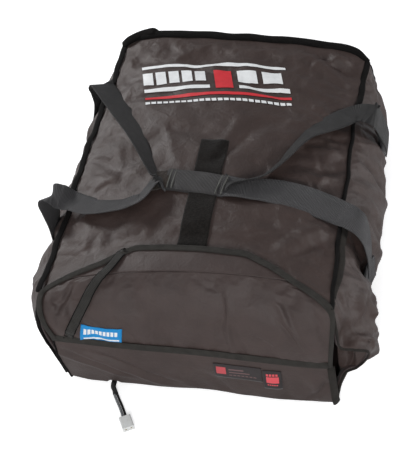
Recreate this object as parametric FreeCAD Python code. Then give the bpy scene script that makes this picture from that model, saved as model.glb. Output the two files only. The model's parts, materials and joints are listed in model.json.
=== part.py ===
"""Soft electrically heated blanket bag: padded walls, a front flap in three stages,
two webbing handles with a shared grip, and a short lead with a two-pole connector.

Millimetres. X runs across the bag, Y from the front (-) to the rear (+), Z up.
The origin is the centre of the base, on the surface that the bag rests on.
"""
import FreeCAD
import Part
import math
import os

V = FreeCAD.Vector
os.makedirs("parts", exist_ok=True)

# Overall size of the bag
bag_width = 500.0
bag_length = 660.0
side_height = 210.0
base_width = 480.0
top_crown = 38.0
gusset_bulge = 44.0
rear_bulge = 24.0
corner_lift = 15.0

# Wall build-up, from the outside in
cover_thick = 1.2
pad_thick = 8.0
liner_thick = 1.0
layer_gap = 0.3
seam_gap = 0.6

# Seam bindings
binding_width = 10.0
binding_proud = 1.0
edge_tape_width = 8.0
mouth_binding_depth = 5.0
base_binding_height = 9.0
top_binding_drop = 11.0
binding_round = 2.5

# Front flap: wall, lid and tongue
flap_width = 490.0
fold_height = 127.0
hinge_height = 4.0
flap_running_gap = 0.4
hinge_tape_thick = 2.2
shoulder_setback = 18.0
shoulder_mid_setback = 37.0
shoulder_rise = 1.0
shoulder_mid_drop = 9.0
lid_fold_setback = 68.0
lid_corner_setback = 48.0
tongue_reach = 57.0
tongue_rear_width = 200.0
mouth_clearance = 6.0
top_mouth_setback = 12.0
tongue_thick = 2.4
tongue_clearance = 1.3
fold_tape_width = 13.0
fold_tape_thick = 1.2

# Hook-and-loop closure
closure_width = 50.0
loop_thick = 1.6
hook_thick = 1.2
loop_rear_reach = 372.0
hook_length = 42.0
hook_edge_inset = 9.0

# Labels
label_thick = 0.5
blue_label_width = 74.0
blue_label_height = 30.0
blue_label_x = -145.0
blue_label_rise = 5.0
care_label_width = 82.0
care_label_height = 37.0
care_label_x = 81.0
care_label_drop = 49.0
heat_tag_width = 31.0
heat_tag_height = 45.0
heat_tag_x = 140.0
heat_tag_drop = 59.0

# Heater and its parts
heater_width = 400.0
heater_length = 540.0
heater_thick = 2.5
heater_round = 20.0
heater_front_inset = 62.0
device_length = 24.0
device_width = 12.0
device_gap = 6.0
cutoff_length = 16.0
cutoff_width = 7.0
device_round = 1.2

# Webbing handles
webbing_width = 50.0
webbing_thick = 2.4
webbing_lift = 4.0
sewn_top_height = 125.0
sewn_foot_height = 14.0
rear_sewn_y = 195.0
front_sewn_y = -100.0
rear_fold_left_y = 222.0
rear_fold_right_y = 165.0
front_fold_left_y = -96.0
front_fold_right_y = -122.0
fold_stand_out = 40.0
grip_x = -18.0
grip_y = -64.0
grip_length = 112.0
grip_width = 55.0
grip_wall = 2.0
grip_round = 2.8
grip_tail = 19.0
strap_cross_lift = 13.0
strap_lead_in = 8.0
strap_lead_rise = 2.0
grip_rest_gap = 0.4
pull_width = 24.0
pull_thick = 1.6
pull_lift = 4.6

# Lead, from the grommet in the front seam to the connector
lead_exit_x = -152.0
lead_diameter = 4.6
lead_spacing = 4.9
internal_lead_diameter = 4.0
grommet_width = 16.0
grommet_height = 12.6
grommet_round = 2.0
notch_side_clearance = 7.0
notch_top_clearance = 4.5
sleeve_diameter = 6.4
sleeve_end_height = 5.6
sleeve_end_width = 9.8
boot_length = 14.0
grey_boot_diameter = 8.6
black_boot_diameter = 7.6
boot_taper = 0.8
connector_length = 25.0
connector_width = 21.0
connector_height = 12.0
connector_round = 2.4
contact_diameter = 3.4
contact_bore = 2.4
contact_length = 14.0
contact_setback = 1.0
contact_pitch = 9.5
contact_clearance = 0.05

# Places worked out from the sizes above
cut_overrun = 20.0
half_width = bag_width / 2
half_base = base_width / 2
half_flap = flap_width / 2
rear_y = bag_length / 2
front_y = -bag_length / 2
wall_stack = cover_thick + pad_thick + liner_thick + 2 * layer_gap
layers = {
    "cover": (0.0, cover_thick),
    "pad": (cover_thick + layer_gap, pad_thick),
    "liner": (cover_thick + pad_thick + 2 * layer_gap, liner_thick),
}
gusset_foot = base_binding_height + layer_gap
gusset_top = side_height - top_binding_drop
top_half = half_width - binding_width / 2
mouth_y = front_y + wall_stack + seam_gap
mouth_top_y = front_y + shoulder_setback + wall_stack + mouth_clearance
lid_fold_y = front_y + lid_fold_setback
top_front_y = lid_fold_y + top_mouth_setback
tongue_under = loop_thick + hook_thick + 3 * layer_gap
gusset_rear_y = rear_y - wall_stack - seam_gap
lead_z = cover_thick + pad_thick + 2 * layer_gap + internal_lead_diameter / 2


def save(name, shape):
    """Write one node and print its volume."""
    solids = shape.Solids
    whole = solids[0] if len(solids) == 1 else Part.makeCompound(solids)
    whole.exportStep("parts/" + name + ".step")
    print(name, len(solids), "solid(s)", round(whole.Volume), "mm3", whole.isValid())


def mirrored(shape):
    return shape.mirror(V(0, 0, 0), V(1, 0, 0))


class Arch:
    """A circular arc in a section plane: its chord's ends, and how far it rises off the chord."""

    def __init__(self, start, end, rise):
        chord = math.dist(start, end)
        self.radius = (chord * chord / 4 + rise * rise) / (2 * rise)
        along = ((end[0] - start[0]) / chord, (end[1] - start[1]) / chord)
        outward = (-along[1], along[0])
        sink = self.radius - rise
        self.centre = (
            (start[0] + end[0]) / 2 - outward[0] * sink,
            (start[1] + end[1]) / 2 - outward[1] * sink,
        )
        self.middle_angle = math.atan2(outward[1], outward[0])
        self.half_angle = math.asin(chord / 2 / self.radius)

    def point(self, share, depth=0.0):
        """share -1 is the start, 0 the crest and 1 the end; depth is measured inward."""
        angle = self.middle_angle - share * self.half_angle
        reach = self.radius - depth
        return (self.centre[0] + reach * math.cos(angle), self.centre[1] + reach * math.sin(angle))

    def share_at_height(self, height):
        """The share at which an upright arc passes a height."""
        angle = math.asin((height - self.centre[1]) / self.radius)
        return (self.middle_angle - angle) / self.half_angle

    def share_at_width(self, x, depth):
        """The share at which an arch over the bag passes an x, at a depth."""
        angle = math.acos((x - self.centre[0]) / (self.radius - depth))
        return (self.middle_angle - angle) / self.half_angle

    def normal(self, share):
        x, z = self.point(share)
        return ((x - self.centre[0]) / self.radius, (z - self.centre[1]) / self.radius)


def band_wire(arch, depth, thick, place, first=-1.0, last=1.0):
    """A closed section between two concentric arcs."""
    middle = (first + last) / 2
    outer = [place(arch.point(share, depth)) for share in (first, middle, last)]
    inner = [place(arch.point(share, depth + thick)) for share in (first, middle, last)]
    return Part.Wire([
        Part.Arc(outer[0], outer[1], outer[2]).toShape(),
        Part.LineSegment(outer[2], inner[2]).toShape(),
        Part.Arc(inner[2], inner[1], inner[0]).toShape(),
        Part.LineSegment(inner[0], outer[0]).toShape(),
    ])


def prism(points, push):
    """A closed outline pushed along a vector."""
    wire = Part.makePolygon(list(points) + [points[0]])
    return Part.Face(wire).extrude(push)


def rounded(shape, rounding, way=None):
    """A shape with all its edges rounded, or those along one way."""
    chosen = [
        e for e in shape.Edges
        if way is None or e.tangentAt(e.FirstParameter).cross(way).Length < layer_gap
    ]
    return shape.makeFillet(rounding, chosen)


def block(low, high, rounding=0.0, edges=None):
    """A box between two corners, with all edges or those along one axis rounded."""
    size = high - low
    shape = Part.makeBox(size.x, size.y, size.z, low)
    return rounded(shape, rounding, edges) if rounding else shape


# Arcs of the walls
def at_xz(y):
    return lambda p: V(p[0], y, p[1])


def at_yz(x):
    return lambda p: V(x, p[0], p[1])


def seam_shift(side, y):
    """How far a top side seam stands off its mean height at y: the soft bag is twisted along its length."""
    return -side * corner_lift * y / rear_y


def top_arch(y):
    """The top panel's outer arc at y."""
    left = (-top_half, side_height + seam_shift(-1, y))
    right = (top_half, side_height + seam_shift(1, y))
    return Arch(left, right, top_crown)


def gusset_arch(bulge_share, side, y):
    """The outer arc of a gusset at y, drawn on the right."""
    foot = (half_base + binding_width / 2, gusset_foot)
    return Arch((half_width, gusset_top + seam_shift(side, y)), foot, gusset_bulge * bulge_share)


def crown_height(x, y, lift=0.0):
    """Height of the top panel's outer face at a place, plus a lift."""
    arch = top_arch(y)
    reach = arch.radius + lift
    return arch.centre[1] + math.sqrt(reach * reach - (x - arch.centre[0]) ** 2)


def crown_normal(x, y):
    arch = top_arch(y)
    return V(x - arch.centre[0], 0, crown_height(x, y) - arch.centre[1]).normalize()


def top_band(depth, thick, y_low, y_high, half=None):
    """A layer that follows the top panel's crown between two Y stations."""
    wires = []
    for y in (y_low, y_high):
        arch = top_arch(y)
        edge = 1.0 if half is None else math.asin(half / arch.radius) / arch.half_angle
        wires.append(band_wire(arch, depth, thick, at_xz(y), -edge, edge))
    return Part.makeLoft(wires, True, True)


def make_base():
    inner_half = half_base - binding_width / 2 - layer_gap
    back = rear_y - binding_width / 2 - layer_gap
    pad_front = mouth_y
    cover = block(V(-inner_half, front_y, 0), V(inner_half, back, cover_thick))
    save("base_cover", cover)
    pad_z = cover_thick + layer_gap
    pad = block(V(-inner_half, pad_front, pad_z), V(inner_half, back, pad_z + pad_thick))
    save("base_pad", pad)
    liner_half = half_base - wall_stack - layer_gap
    liner_z = lead_z + internal_lead_diameter / 2 + layer_gap
    liner = block(V(-liner_half, mouth_y, liner_z), V(liner_half, gusset_rear_y, liner_z + liner_thick))
    save("base_liner", liner)
    outer_half = half_base + binding_width / 2
    outer_back = rear_y + binding_width / 2
    rim_half = inner_half + layer_gap
    rim_back = back + layer_gap
    outline = [
        V(-outer_half, mouth_y, 0), V(-rim_half, mouth_y, 0), V(-rim_half, rim_back, 0),
        V(rim_half, rim_back, 0), V(rim_half, mouth_y, 0), V(outer_half, mouth_y, 0),
        V(outer_half, outer_back, 0), V(-outer_half, outer_back, 0),
    ]
    save("base_seam_binding", prism(outline, V(0, 0, base_binding_height)))
    tape_z = cover_thick + layer_gap
    tape_high = V(outer_half, mouth_y - layer_gap, tape_z + hinge_tape_thick)
    tape = block(V(-outer_half, front_y, tape_z), tape_high)
    save("flap_hinge_tape", tape)


def make_heater():
    low_z = cover_thick + pad_thick + 2 * layer_gap
    front = front_y + heater_front_inset
    pad = block(
        V(-heater_width / 2, front, low_z),
        V(heater_width / 2, front + heater_length, low_z + heater_thick),
        heater_round, V(0, 0, 1),
    )
    save("heater_pad", pad)
    top_z = low_z + internal_lead_diameter
    device_y = front - device_gap - device_width
    thermostat = block(
        V(lead_exit_x + grommet_width, device_y, low_z),
        V(lead_exit_x + grommet_width + device_length, device_y + device_width, top_z),
        device_round, V(0, 0, 1),
    )
    save("thermostat", thermostat)
    cutoff_x = lead_exit_x + grommet_width + device_length + device_gap
    cutoff = block(
        V(cutoff_x, device_y, low_z),
        V(cutoff_x + cutoff_length, device_y + cutoff_width, top_z),
        device_round, V(0, 0, 1),
    )
    save("thermal_cutoff", cutoff)
    lead = Part.makeCylinder(
        internal_lead_diameter / 2, front - mouth_y, V(lead_exit_x, mouth_y, lead_z), V(0, 1, 0)
    )
    save("internal_lead", lead)


def side_elevation(inset, depth=None):
    """A gusset's outline from the side, set back from the mouth line by an inset, as a prism."""
    reach = half_width + 2 * gusset_bulge
    high = side_height + corner_lift
    lean = (mouth_top_y - mouth_y) / (side_height - fold_height)
    high_y = mouth_y + lean * (high - fold_height)
    front = [(mouth_y + inset, 0), (mouth_y + inset, fold_height), (high_y + inset, high)]
    if depth is None:
        back = [(gusset_rear_y, high), (gusset_rear_y, 0)]
    else:
        back = [(y + depth, z) for y, z in reversed(front)]
    return prism([V(0, y, z) for y, z in front + back], V(reach, 0, 0))


rear_bulge_share = 0.4
sides = {"right": 1, "left": -1}
gusset_station_shares = {
    "right": ((0.0, rear_bulge_share), (0.12, 1.0), (0.7, 1.0), (0.8, 1.2), (1.0, 1.38)),
    "left": ((0.0, rear_bulge_share), (0.12, 1.0), (0.72, 1.0), (1.0, 0.45)),
}


def gusset_layer(side, depth, thick):
    """One layer of a gusset, on the right: drawn in at the rear corner, loose or tucked in at the mouth."""
    wires = []
    for along, bulge in gusset_station_shares[side]:
        y = gusset_rear_y + (mouth_y - gusset_rear_y) * along
        wires.append(band_wire(gusset_arch(bulge, sides[side], y), depth, thick, at_xz(y)))
    return Part.makeLoft(wires, True, True)


def make_gussets():
    inset = mouth_binding_depth + layer_gap
    mouths = []
    for side in gusset_station_shares:
        for name, (depth, thick) in layers.items():
            layer = gusset_layer(side, depth, thick).common(side_elevation(inset))
            save(side + "_gusset_" + name, mirrored(layer) if side == "left" else layer)
        rim = gusset_layer(side, -binding_proud, wall_stack + 2 * binding_proud)
        mouth = rim.common(side_elevation(0, mouth_binding_depth))
        mouths.append(mirrored(mouth) if side == "left" else mouth)
    save("gusset_mouth_bindings", Part.makeCompound(mouths))


rear_station_shares = (-1.0, -0.6, -0.25, 0.0, 0.25, 0.6, 1.0)


def rear_layer(depth, thick):
    """One layer of the rear wall: a bulge that fades to the corners, cut to the arcs round it."""
    top = side_height + top_crown
    wires = []
    for share in rear_station_shares:
        arch = Arch((rear_y, top), (rear_y, 0), rear_bulge * (1 - share * share / 2))
        wires.append(band_wire(arch, depth, thick, at_yz((half_width + gusset_bulge) * share)))
    sheet = Part.makeLoft(wires, True, True)
    start_y = rear_y - wall_stack - cut_overrun
    end_y = rear_y + rear_bulge + cut_overrun
    return sheet.common(Part.makeLoft([rear_outline(y) for y in (start_y, end_y)], True, True))


def rear_outline(y):
    """The line round the rear wall, inside the corner bindings and under the top panel."""
    place = at_xz(y)
    shares = (-1.0, 0.0, 1.0)
    right_arch, left_arch = (gusset_arch(rear_bulge_share, side, y) for side in (1, -1))
    right = [place(right_arch.point(share, binding_width / 2)) for share in shares]
    left = [place(left_arch.point(share, binding_width / 2)) for share in shares]
    left = [V(-p.x, p.y, p.z) for p in left]
    roof = top_arch(y)
    depth = wall_stack + layer_gap
    first = roof.share_at_width(left[0].x, depth)
    last = roof.share_at_width(right[0].x, depth)
    over = [place(roof.point(share, depth)) for share in (first, (first + last) / 2, last)]
    return Part.Wire([
        Part.Arc(right[0], right[1], right[2]).toShape(),
        Part.LineSegment(right[2], left[2]).toShape(),
        Part.Arc(left[2], left[1], left[0]).toShape(),
        Part.LineSegment(left[0], over[0]).toShape(),
        Part.Arc(over[0], over[1], over[2]).toShape(),
        Part.LineSegment(over[2], right[0]).toShape(),
    ])


def make_rear():
    for name, (depth, thick) in layers.items():
        save("rear_" + name, rear_layer(depth, thick))
    width = binding_width / 2 + binding_proud - layer_gap
    corners = []
    for side in (1, -1):
        wires = [
            band_wire(gusset_arch(rear_bulge_share, side, y), -binding_proud, width, at_xz(y))
            for y in (gusset_rear_y + layer_gap, rear_y + binding_proud)
        ]
        corner = Part.makeLoft(wires, True, True)
        corners.append(corner if side > 0 else mirrored(corner))
    save("rear_corner_bindings", Part.makeCompound(corners))


def seam_rail(side):
    """The binding along one top side seam."""
    inner = side * (top_half + layer_gap)
    outer = side * (half_width + binding_width / 2 + layer_gap)
    low = gusset_top + layer_gap + seam_shift(side, lid_fold_y)
    high = side_height + binding_proud + seam_shift(side, lid_fold_y)
    end_y = rear_y + binding_width / 2
    push = V(0, end_y - lid_fold_y, seam_shift(side, end_y) - seam_shift(side, lid_fold_y))
    section = [V(x, lid_fold_y, z) for x, z in ((inner, low), (outer, low), (outer, high), (inner, high))]
    return rounded(prism(section, push), binding_round, V(push).normalize())


def seam_slab(y):
    """The band of height that the binding has at its ends, across the bag at y."""
    reach = top_half + 2 * layer_gap
    low = gusset_top + layer_gap
    high = side_height + binding_proud
    ways = ((-1, low), (1, low), (1, high), (-1, high), (-1, low))
    return Part.makePolygon([V(side * reach, y, z + seam_shift(side, y)) for side, z in ways])


def make_top():
    back = rear_y - binding_width / 2 - layer_gap
    front = top_front_y + mouth_binding_depth + layer_gap
    for name, (depth, thick) in layers.items():
        save("top_" + name, top_band(depth, thick, front, back))
    rim_thick = wall_stack + 2 * binding_proud
    rim = top_band(-binding_proud, rim_thick, top_front_y, top_front_y + mouth_binding_depth)
    save("top_mouth_binding", rim)
    low_y = rear_y - binding_width / 2
    high_y = rear_y + binding_width / 2
    rear = top_band(-binding_proud, top_binding_drop, low_y, high_y)
    wide = top_band(-binding_proud, wall_stack + binding_proud, low_y, high_y, half_width)
    corner_fill = Part.makeLoft([seam_slab(y) for y in (low_y, high_y)], True, True).common(wide)
    rails = [seam_rail(side) for side in (-1, 1)]
    save("top_seam_binding", rear.fuse(rails + [corner_fill]).removeSplitter())
    loop = top_band(-layer_gap - loop_thick, loop_thick, front, front_y + loop_rear_reach, closure_width / 2)
    save("loop_strip", loop)


# Front flap
def plan_outline(inset=0.0):
    """The lid's and tongue's outline from above, drawn in by an inset, as a tall prism."""
    corner_y = front_y + lid_corner_setback
    back_y = lid_fold_y + tongue_reach
    slope = math.atan2(back_y - corner_y, half_flap - tongue_rear_width / 2)
    side_shift = inset * math.tan((math.pi / 2 - slope) / 2)
    rear_shift = inset * math.tan(slope / 2)
    low = front_y - cut_overrun
    right = [
        (half_flap - inset, low),
        (half_flap - inset, corner_y - side_shift),
        (tongue_rear_width / 2 - rear_shift, back_y - inset),
    ]
    left = [(-x, y) for x, y in reversed(right)]
    return prism([V(x, y, 0) for x, y in right + left], V(0, 0, 2 * side_height))


def lid_section(left, middle, right):
    """Edge across the lid through its left, middle and right points."""
    flat = abs(middle.y - right.y) + abs(middle.z - right.z) + abs(middle.z - left.z) < layer_gap
    return Part.LineSegment(left, right).toShape() if flat else Part.Arc(left, middle, right).toShape()


def lid_wire(station, depth, thick):
    outer = station(depth)
    inner = station(depth + thick)
    return Part.Wire([
        lid_section(*outer), Part.LineSegment(outer[2], inner[2]).toShape(),
        lid_section(*inner), Part.LineSegment(inner[0], outer[0]).toShape(),
    ])


def lid_foot(depth):
    """Left, middle and right points at the fold line; the other stations give the same three."""
    z = fold_height + flap_running_gap / 2
    return [V(x, front_y + depth, z) for x in (-half_flap, 0, half_flap)]


def lid_shoulder(depth):
    lean = math.sqrt(0.5) * depth
    y = front_y + shoulder_setback + lean
    z = side_height + shoulder_rise - lean
    middle = V(0, front_y + shoulder_mid_setback + lean, side_height - shoulder_mid_drop - lean)
    return V(-half_flap, y, z + seam_shift(-1, y)), middle, V(half_flap, y, z + seam_shift(1, y))


def lid_crest(depth):
    lift = tongue_under - tongue_clearance - depth
    y = lid_fold_y - flap_running_gap / 2
    return [V(x, y, crown_height(x, y, lift)) for x in (-half_flap, 0, half_flap)]


def lid_layer(depth, thick):
    return Part.makeLoft([lid_wire(s, depth, thick) for s in (lid_foot, lid_shoulder, lid_crest)], True, True)


def slope_point(share, x, lift):
    """A point on the lid's outer face: share 0 is the fold line and 1 the shoulder."""
    foot = lid_foot(-lift)[1]
    left, middle, right = lid_shoulder(-lift)
    across = x / half_flap
    fade = across ** 2
    side_z = (left.z + right.z) / 2
    twist = (right.z - left.z) / 2 * across
    head = V(x, middle.y + (right.y - middle.y) * fade, middle.z + (side_z - middle.z) * fade + twist)
    return V(x, foot.y, foot.z) * (1 - share) + head * share


def slope_normal(share, x):
    """The outward direction of the lid's lower face at a point."""
    up = slope_point(1, x, 0) - slope_point(0, x, 0)
    side = slope_point(share, x + layer_gap, 0) - slope_point(share, x, 0)
    return side.cross(up).normalize()


def make_front_wall():
    low = hinge_height + flap_running_gap
    high = fold_height - flap_running_gap / 2
    inner_half = half_flap - edge_tape_width
    notch_half = grommet_width / 2 + notch_side_clearance
    notch_top = cover_thick + hinge_tape_thick + 2 * layer_gap + grommet_height + notch_top_clearance
    notch = block(
        V(lead_exit_x - notch_half, front_y - cut_overrun, 0),
        V(lead_exit_x + notch_half, mouth_y, notch_top),
    )
    for name, (depth, thick) in layers.items():
        sheet = block(V(-inner_half, front_y + depth, low), V(inner_half, front_y + depth + thick, high))
        save("front_wall_" + name, sheet.cut(notch))
    edge = block(
        V(inner_half + layer_gap, front_y - binding_proud, low),
        V(half_flap, front_y + wall_stack, high),
    )
    save("front_wall_edge_bindings", Part.makeCompound([edge, mirrored(edge)]))
    tape = block(
        V(-inner_half, front_y - layer_gap - fold_tape_thick, high - fold_tape_width),
        V(inner_half, front_y - layer_gap, high),
    )
    save("fold_tape", tape)
    for name, x, drop, width, height in (
        ("care_label", care_label_x, care_label_drop, care_label_width, care_label_height),
        ("heat_tag", heat_tag_x, heat_tag_drop, heat_tag_width, heat_tag_height),
    ):
        z = fold_height - drop
        plate = block(
            V(x - width / 2, front_y - layer_gap - label_thick, z - height / 2),
            V(x + width / 2, front_y - layer_gap, z + height / 2),
        )
        save(name, plate)


def make_lid():
    inside = plan_outline(edge_tape_width + layer_gap)
    rim = plan_outline().cut(plan_outline(edge_tape_width))
    for name, (depth, thick) in layers.items():
        save("lid_" + name, lid_layer(depth, thick).common(inside))
    edge = lid_layer(-binding_proud, wall_stack + 2 * binding_proud).common(rim)
    save("lid_edge_bindings", edge)
    window = block(
        V(blue_label_x - blue_label_width / 2, front_y - cut_overrun, fold_height + blue_label_rise),
        V(blue_label_x + blue_label_width / 2, 0, fold_height + blue_label_rise + blue_label_height),
    )
    save("blue_label", lid_layer(-layer_gap - label_thick, label_thick).common(window))


def make_tongue():
    y_low = lid_fold_y + flap_running_gap / 2
    y_high = lid_fold_y + tongue_reach
    outer = tongue_under + tongue_thick
    inside = plan_outline(edge_tape_width + layer_gap)
    rim = plan_outline().cut(plan_outline(edge_tape_width))
    sheet = top_band(-outer, tongue_thick, y_low, y_high)
    save("tongue_cover", sheet.common(inside))
    edge = top_band(-outer - binding_proud, tongue_thick + binding_proud, y_low, y_high)
    save("tongue_binding", edge.common(rim))
    hook_back = y_high - hook_edge_inset
    lift = tongue_under - layer_gap
    hook = top_band(-lift, hook_thick, hook_back - hook_length, hook_back, closure_width / 2)
    save("hook_strip", hook)


# Webbing
def ribbon(stations, width, thick):
    """A flat strap through stations of (point, outward normal, way); a way of None follows the neighbours."""
    wires = []
    points = [point for point, _, _ in stations]
    for k, (point, normal, way) in enumerate(stations):
        ahead = way
        if way is None:
            ahead = points[min(k + 1, len(points) - 1)] - points[max(k - 1, 0)]
        across = normal.cross(ahead).normalize()
        up = ahead.cross(across).normalize()
        corners = [
            point + across * (width / 2) * a + up * (thick / 2) * b
            for a, b in ((-1, -1), (1, -1), (1, 1), (-1, 1))
        ]
        wires.append(Part.makePolygon(corners + [corners[0]]))
    return Part.makeLoft(wires, True, True)


def side_webbing(side, middle):
    """The sewn stretch of a strap on a gusset."""
    wires = []
    for y in (middle - webbing_width / 2, middle + webbing_width / 2):
        arch = gusset_arch(1.0, side, y)
        top_share = arch.share_at_height(sewn_top_height)
        foot_share = arch.share_at_height(sewn_foot_height)
        place = at_xz(y)
        wires.append(band_wire(arch, -webbing_thick - seam_gap, webbing_thick, place, top_share, foot_share))
    sewn = Part.makeLoft(wires, True, True)
    return sewn if side > 0 else mirrored(sewn)


# Share of the way across the top panel, and share of the lift where two straps cross
top_run_shares = ((0.55, 1.0), (0.74, 0.6), (0.9, 0.1))
fold_tilts = (25.0, 50.0, 85.0)


def strap_stretch(side, start, fold_y, sewn_y, cross_lift):
    """A free stretch of a strap: from the grip over the top panel, round a loose fold, to the sewn end."""
    arch = gusset_arch(1.0, side, sewn_y)
    seam_z = side_height + seam_shift(side, fold_y)
    lift = webbing_lift + webbing_thick / 2
    outward = V(side, 0, 0)
    lead_rise = strap_lead_rise if cross_lift else 0
    stations = [
        (start, V(0, 0, 1), outward),
        (start + outward * strap_lead_in + V(0, 0, lead_rise), V(0, 0, 1), outward),
    ]
    for share, crossing in top_run_shares:
        x = side * half_width * share
        run = (share * half_width - side * start.x) / (half_width - side * start.x)
        rise = lift + cross_lift * crossing
        y = start.y + (fold_y - start.y) * run
        stations.append((V(x, y, crown_height(x, y, rise)), crown_normal(x, y), None))
    out = half_width + fold_stand_out
    fold = (
        (half_width + binding_width, seam_z + 3 * lift),
        (out, seam_z + binding_width),
        (out + binding_width, seam_z - 2 * binding_width),
    )
    for (x, z), tilt in zip(fold, fold_tilts):
        lean = math.radians(tilt)
        stations.append((V(side * x, fold_y, z), V(side * math.sin(lean), 0, math.cos(lean)), None))
    seat = -webbing_thick / 2 - seam_gap
    end_height = sewn_top_height + seam_gap
    middle_height = (seam_z + end_height) / 2 - binding_width
    for height, y, stand_off, square in (
        (middle_height, (fold_y + sewn_y) / 2, webbing_lift, False),
        (end_height + strap_lead_in, sewn_y, 0, True),
        (end_height, sewn_y, 0, True),
    ):
        share = arch.share_at_height(height)
        x, z = arch.point(share, seat - stand_off)
        out, up = arch.normal(share)
        down = V(side * up, 0, -out)
        stations.append((V(side * x, y, z), V(side * out, 0, up), down if square else None))
    return ribbon(stations, webbing_width, webbing_thick)


def make_handles():
    for name, y in (("rear_side_webbings", rear_sewn_y), ("front_side_webbings", front_sewn_y)):
        save(name, Part.makeCompound([side_webbing(side, y) for side in (1, -1)]))
    seat = crown_height(grip_x, grip_y, loop_thick + 2 * layer_gap) + grip_rest_gap
    height = 2 * grip_wall + 2 * webbing_thick + 3 * layer_gap
    half = grip_length / 2
    wrap = block(
        V(grip_x - half, grip_y - grip_width / 2, seat),
        V(grip_x + half, grip_y + grip_width / 2, seat + height),
        grip_round, V(1, 0, 0),
    )
    slot_half = webbing_width / 2 + layer_gap
    slot = block(
        V(grip_x - half - cut_overrun, grip_y - slot_half, seat + grip_wall),
        V(grip_x + half + cut_overrun, grip_y + slot_half, seat + height - grip_wall),
    )
    save("grip_wrap", wrap.cut(slot))
    tail = half + grip_tail
    bar_half = webbing_width / 2
    lower_z = seat + grip_wall + layer_gap
    upper_z = lower_z + webbing_thick + layer_gap
    bars = [
        block(
            V(grip_x - tail, grip_y - bar_half, z),
            V(grip_x + tail, grip_y + bar_half, z + webbing_thick),
        )
        for z in (lower_z, upper_z)
    ]
    save("grip_webbings", Part.makeCompound(bars))
    runs = (
        ("front_left_strap", -1, front_fold_left_y, front_sewn_y, lower_z, 0),
        ("front_right_strap", 1, front_fold_right_y, front_sewn_y, lower_z, 0),
        ("rear_left_strap", -1, rear_fold_left_y, rear_sewn_y, upper_z, strap_cross_lift),
        ("rear_right_strap", 1, rear_fold_right_y, rear_sewn_y, upper_z, strap_cross_lift),
    )
    for name, side, fold_y, sewn_y, z, cross_lift in runs:
        start = V(grip_x + side * (tail + layer_gap), grip_y, z + webbing_thick / 2)
        save(name, strap_stretch(side, start, fold_y, sewn_y, cross_lift))


pull_sewn_shares = ((0.12, -0.857), (0.24, -0.831))
pull_path_shares = ((0.55, -0.75), (0.98, -0.66))
pull_tongue_shares = ((-0.12, -0.62), (0.25, -0.57), (0.62, -0.50))


def make_pull_strap():
    """The narrow strap from the fold line up the lid and on to the tongue."""
    lift = pull_lift + pull_thick / 2 + binding_proud
    stations = []
    for share, across in pull_sewn_shares:
        x = across * half_flap
        stations.append((slope_point(share, x, seam_gap + pull_thick / 2), slope_normal(share, x), None))
    for share, across in pull_path_shares:
        stations.append((slope_point(share, across * half_flap, lift), V(0, -1, math.sqrt(0.5)), None))
    for share, across in pull_tongue_shares:
        x = across * half_flap
        y = lid_fold_y + tongue_reach * share
        rise = tongue_under + tongue_thick + lift
        stations.append((V(x, y, crown_height(x, y, rise)), crown_normal(x, y), None))
    save("pull_strap", ribbon(stations, pull_width, pull_thick))


# Lead and connector. The route is a list of places chosen by hand.
sleeve_start = V(lead_exit_x, front_y - layer_gap, lead_z)
lead_route = [
    V(-144.5, -347.5, 4.7),
    V(-139.8, -355.8, 3.2),
    V(-133.6, -365.6, 2.8),
    V(-127.8, -375.2, 4.4),
    V(-123.4, -383.4, 4.4),
]


# Share of the shorter run that each bend takes up
bend_trim_share = 0.45


def tangent_tube(points, diameter, label):
    """A tube along straight runs joined by tangent arcs."""
    edges = []
    at = points[0]
    for before, corner, after in zip(points, points[1:], points[2:]):
        back = (before - corner).normalize()
        ahead = (after - corner).normalize()
        turn = math.pi - back.getAngle(ahead)
        shorter = min((before - corner).Length, (after - corner).Length)
        trim = bend_trim_share * shorter
        radius = trim / math.tan(turn / 2)
        first = corner + back * trim
        last = corner + ahead * trim
        bisector = (back + ahead).normalize()
        centre_reach = math.hypot(radius, trim)
        crest = corner + bisector * (centre_reach - radius)
        edges.append(Part.LineSegment(at, first).toShape())
        edges.append(Part.Arc(first, crest, last).toShape())
        at = last
        print(label, "bend radius", round(radius, 1))
    edges.append(Part.LineSegment(at, points[-1]).toShape())
    path = Part.Wire(edges)
    start_way = points[1] - points[0]
    ring = Part.Wire(Part.makeCircle(diameter / 2, points[0], start_way))
    tube = path.makePipeShell([ring], True, False)
    section = math.pi * diameter * diameter / 4
    share = tube.Volume / section / path.Length
    print(label, "length", round(path.Length, 1), "volume over section times length", round(share, 4))
    return tube


def stadium_wire(centre, way, width, height):
    """A rounded slot across a direction, its width level."""
    level = way.cross(V(0, 0, 1)).normalize()
    up = level.cross(way).normalize()
    reach = (width - height) / 2
    tips = [centre + level * reach, centre - level * reach]
    rise = up * (height / 2)
    return Part.Wire([
        Part.LineSegment(tips[1] + rise, tips[0] + rise).toShape(),
        Part.Arc(tips[0] + rise, tips[0] + level * (height / 2), tips[0] - rise).toShape(),
        Part.LineSegment(tips[0] - rise, tips[1] - rise).toShape(),
        Part.Arc(tips[1] - rise, tips[1] - level * (height / 2), tips[1] + rise).toShape(),
    ])


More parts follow.
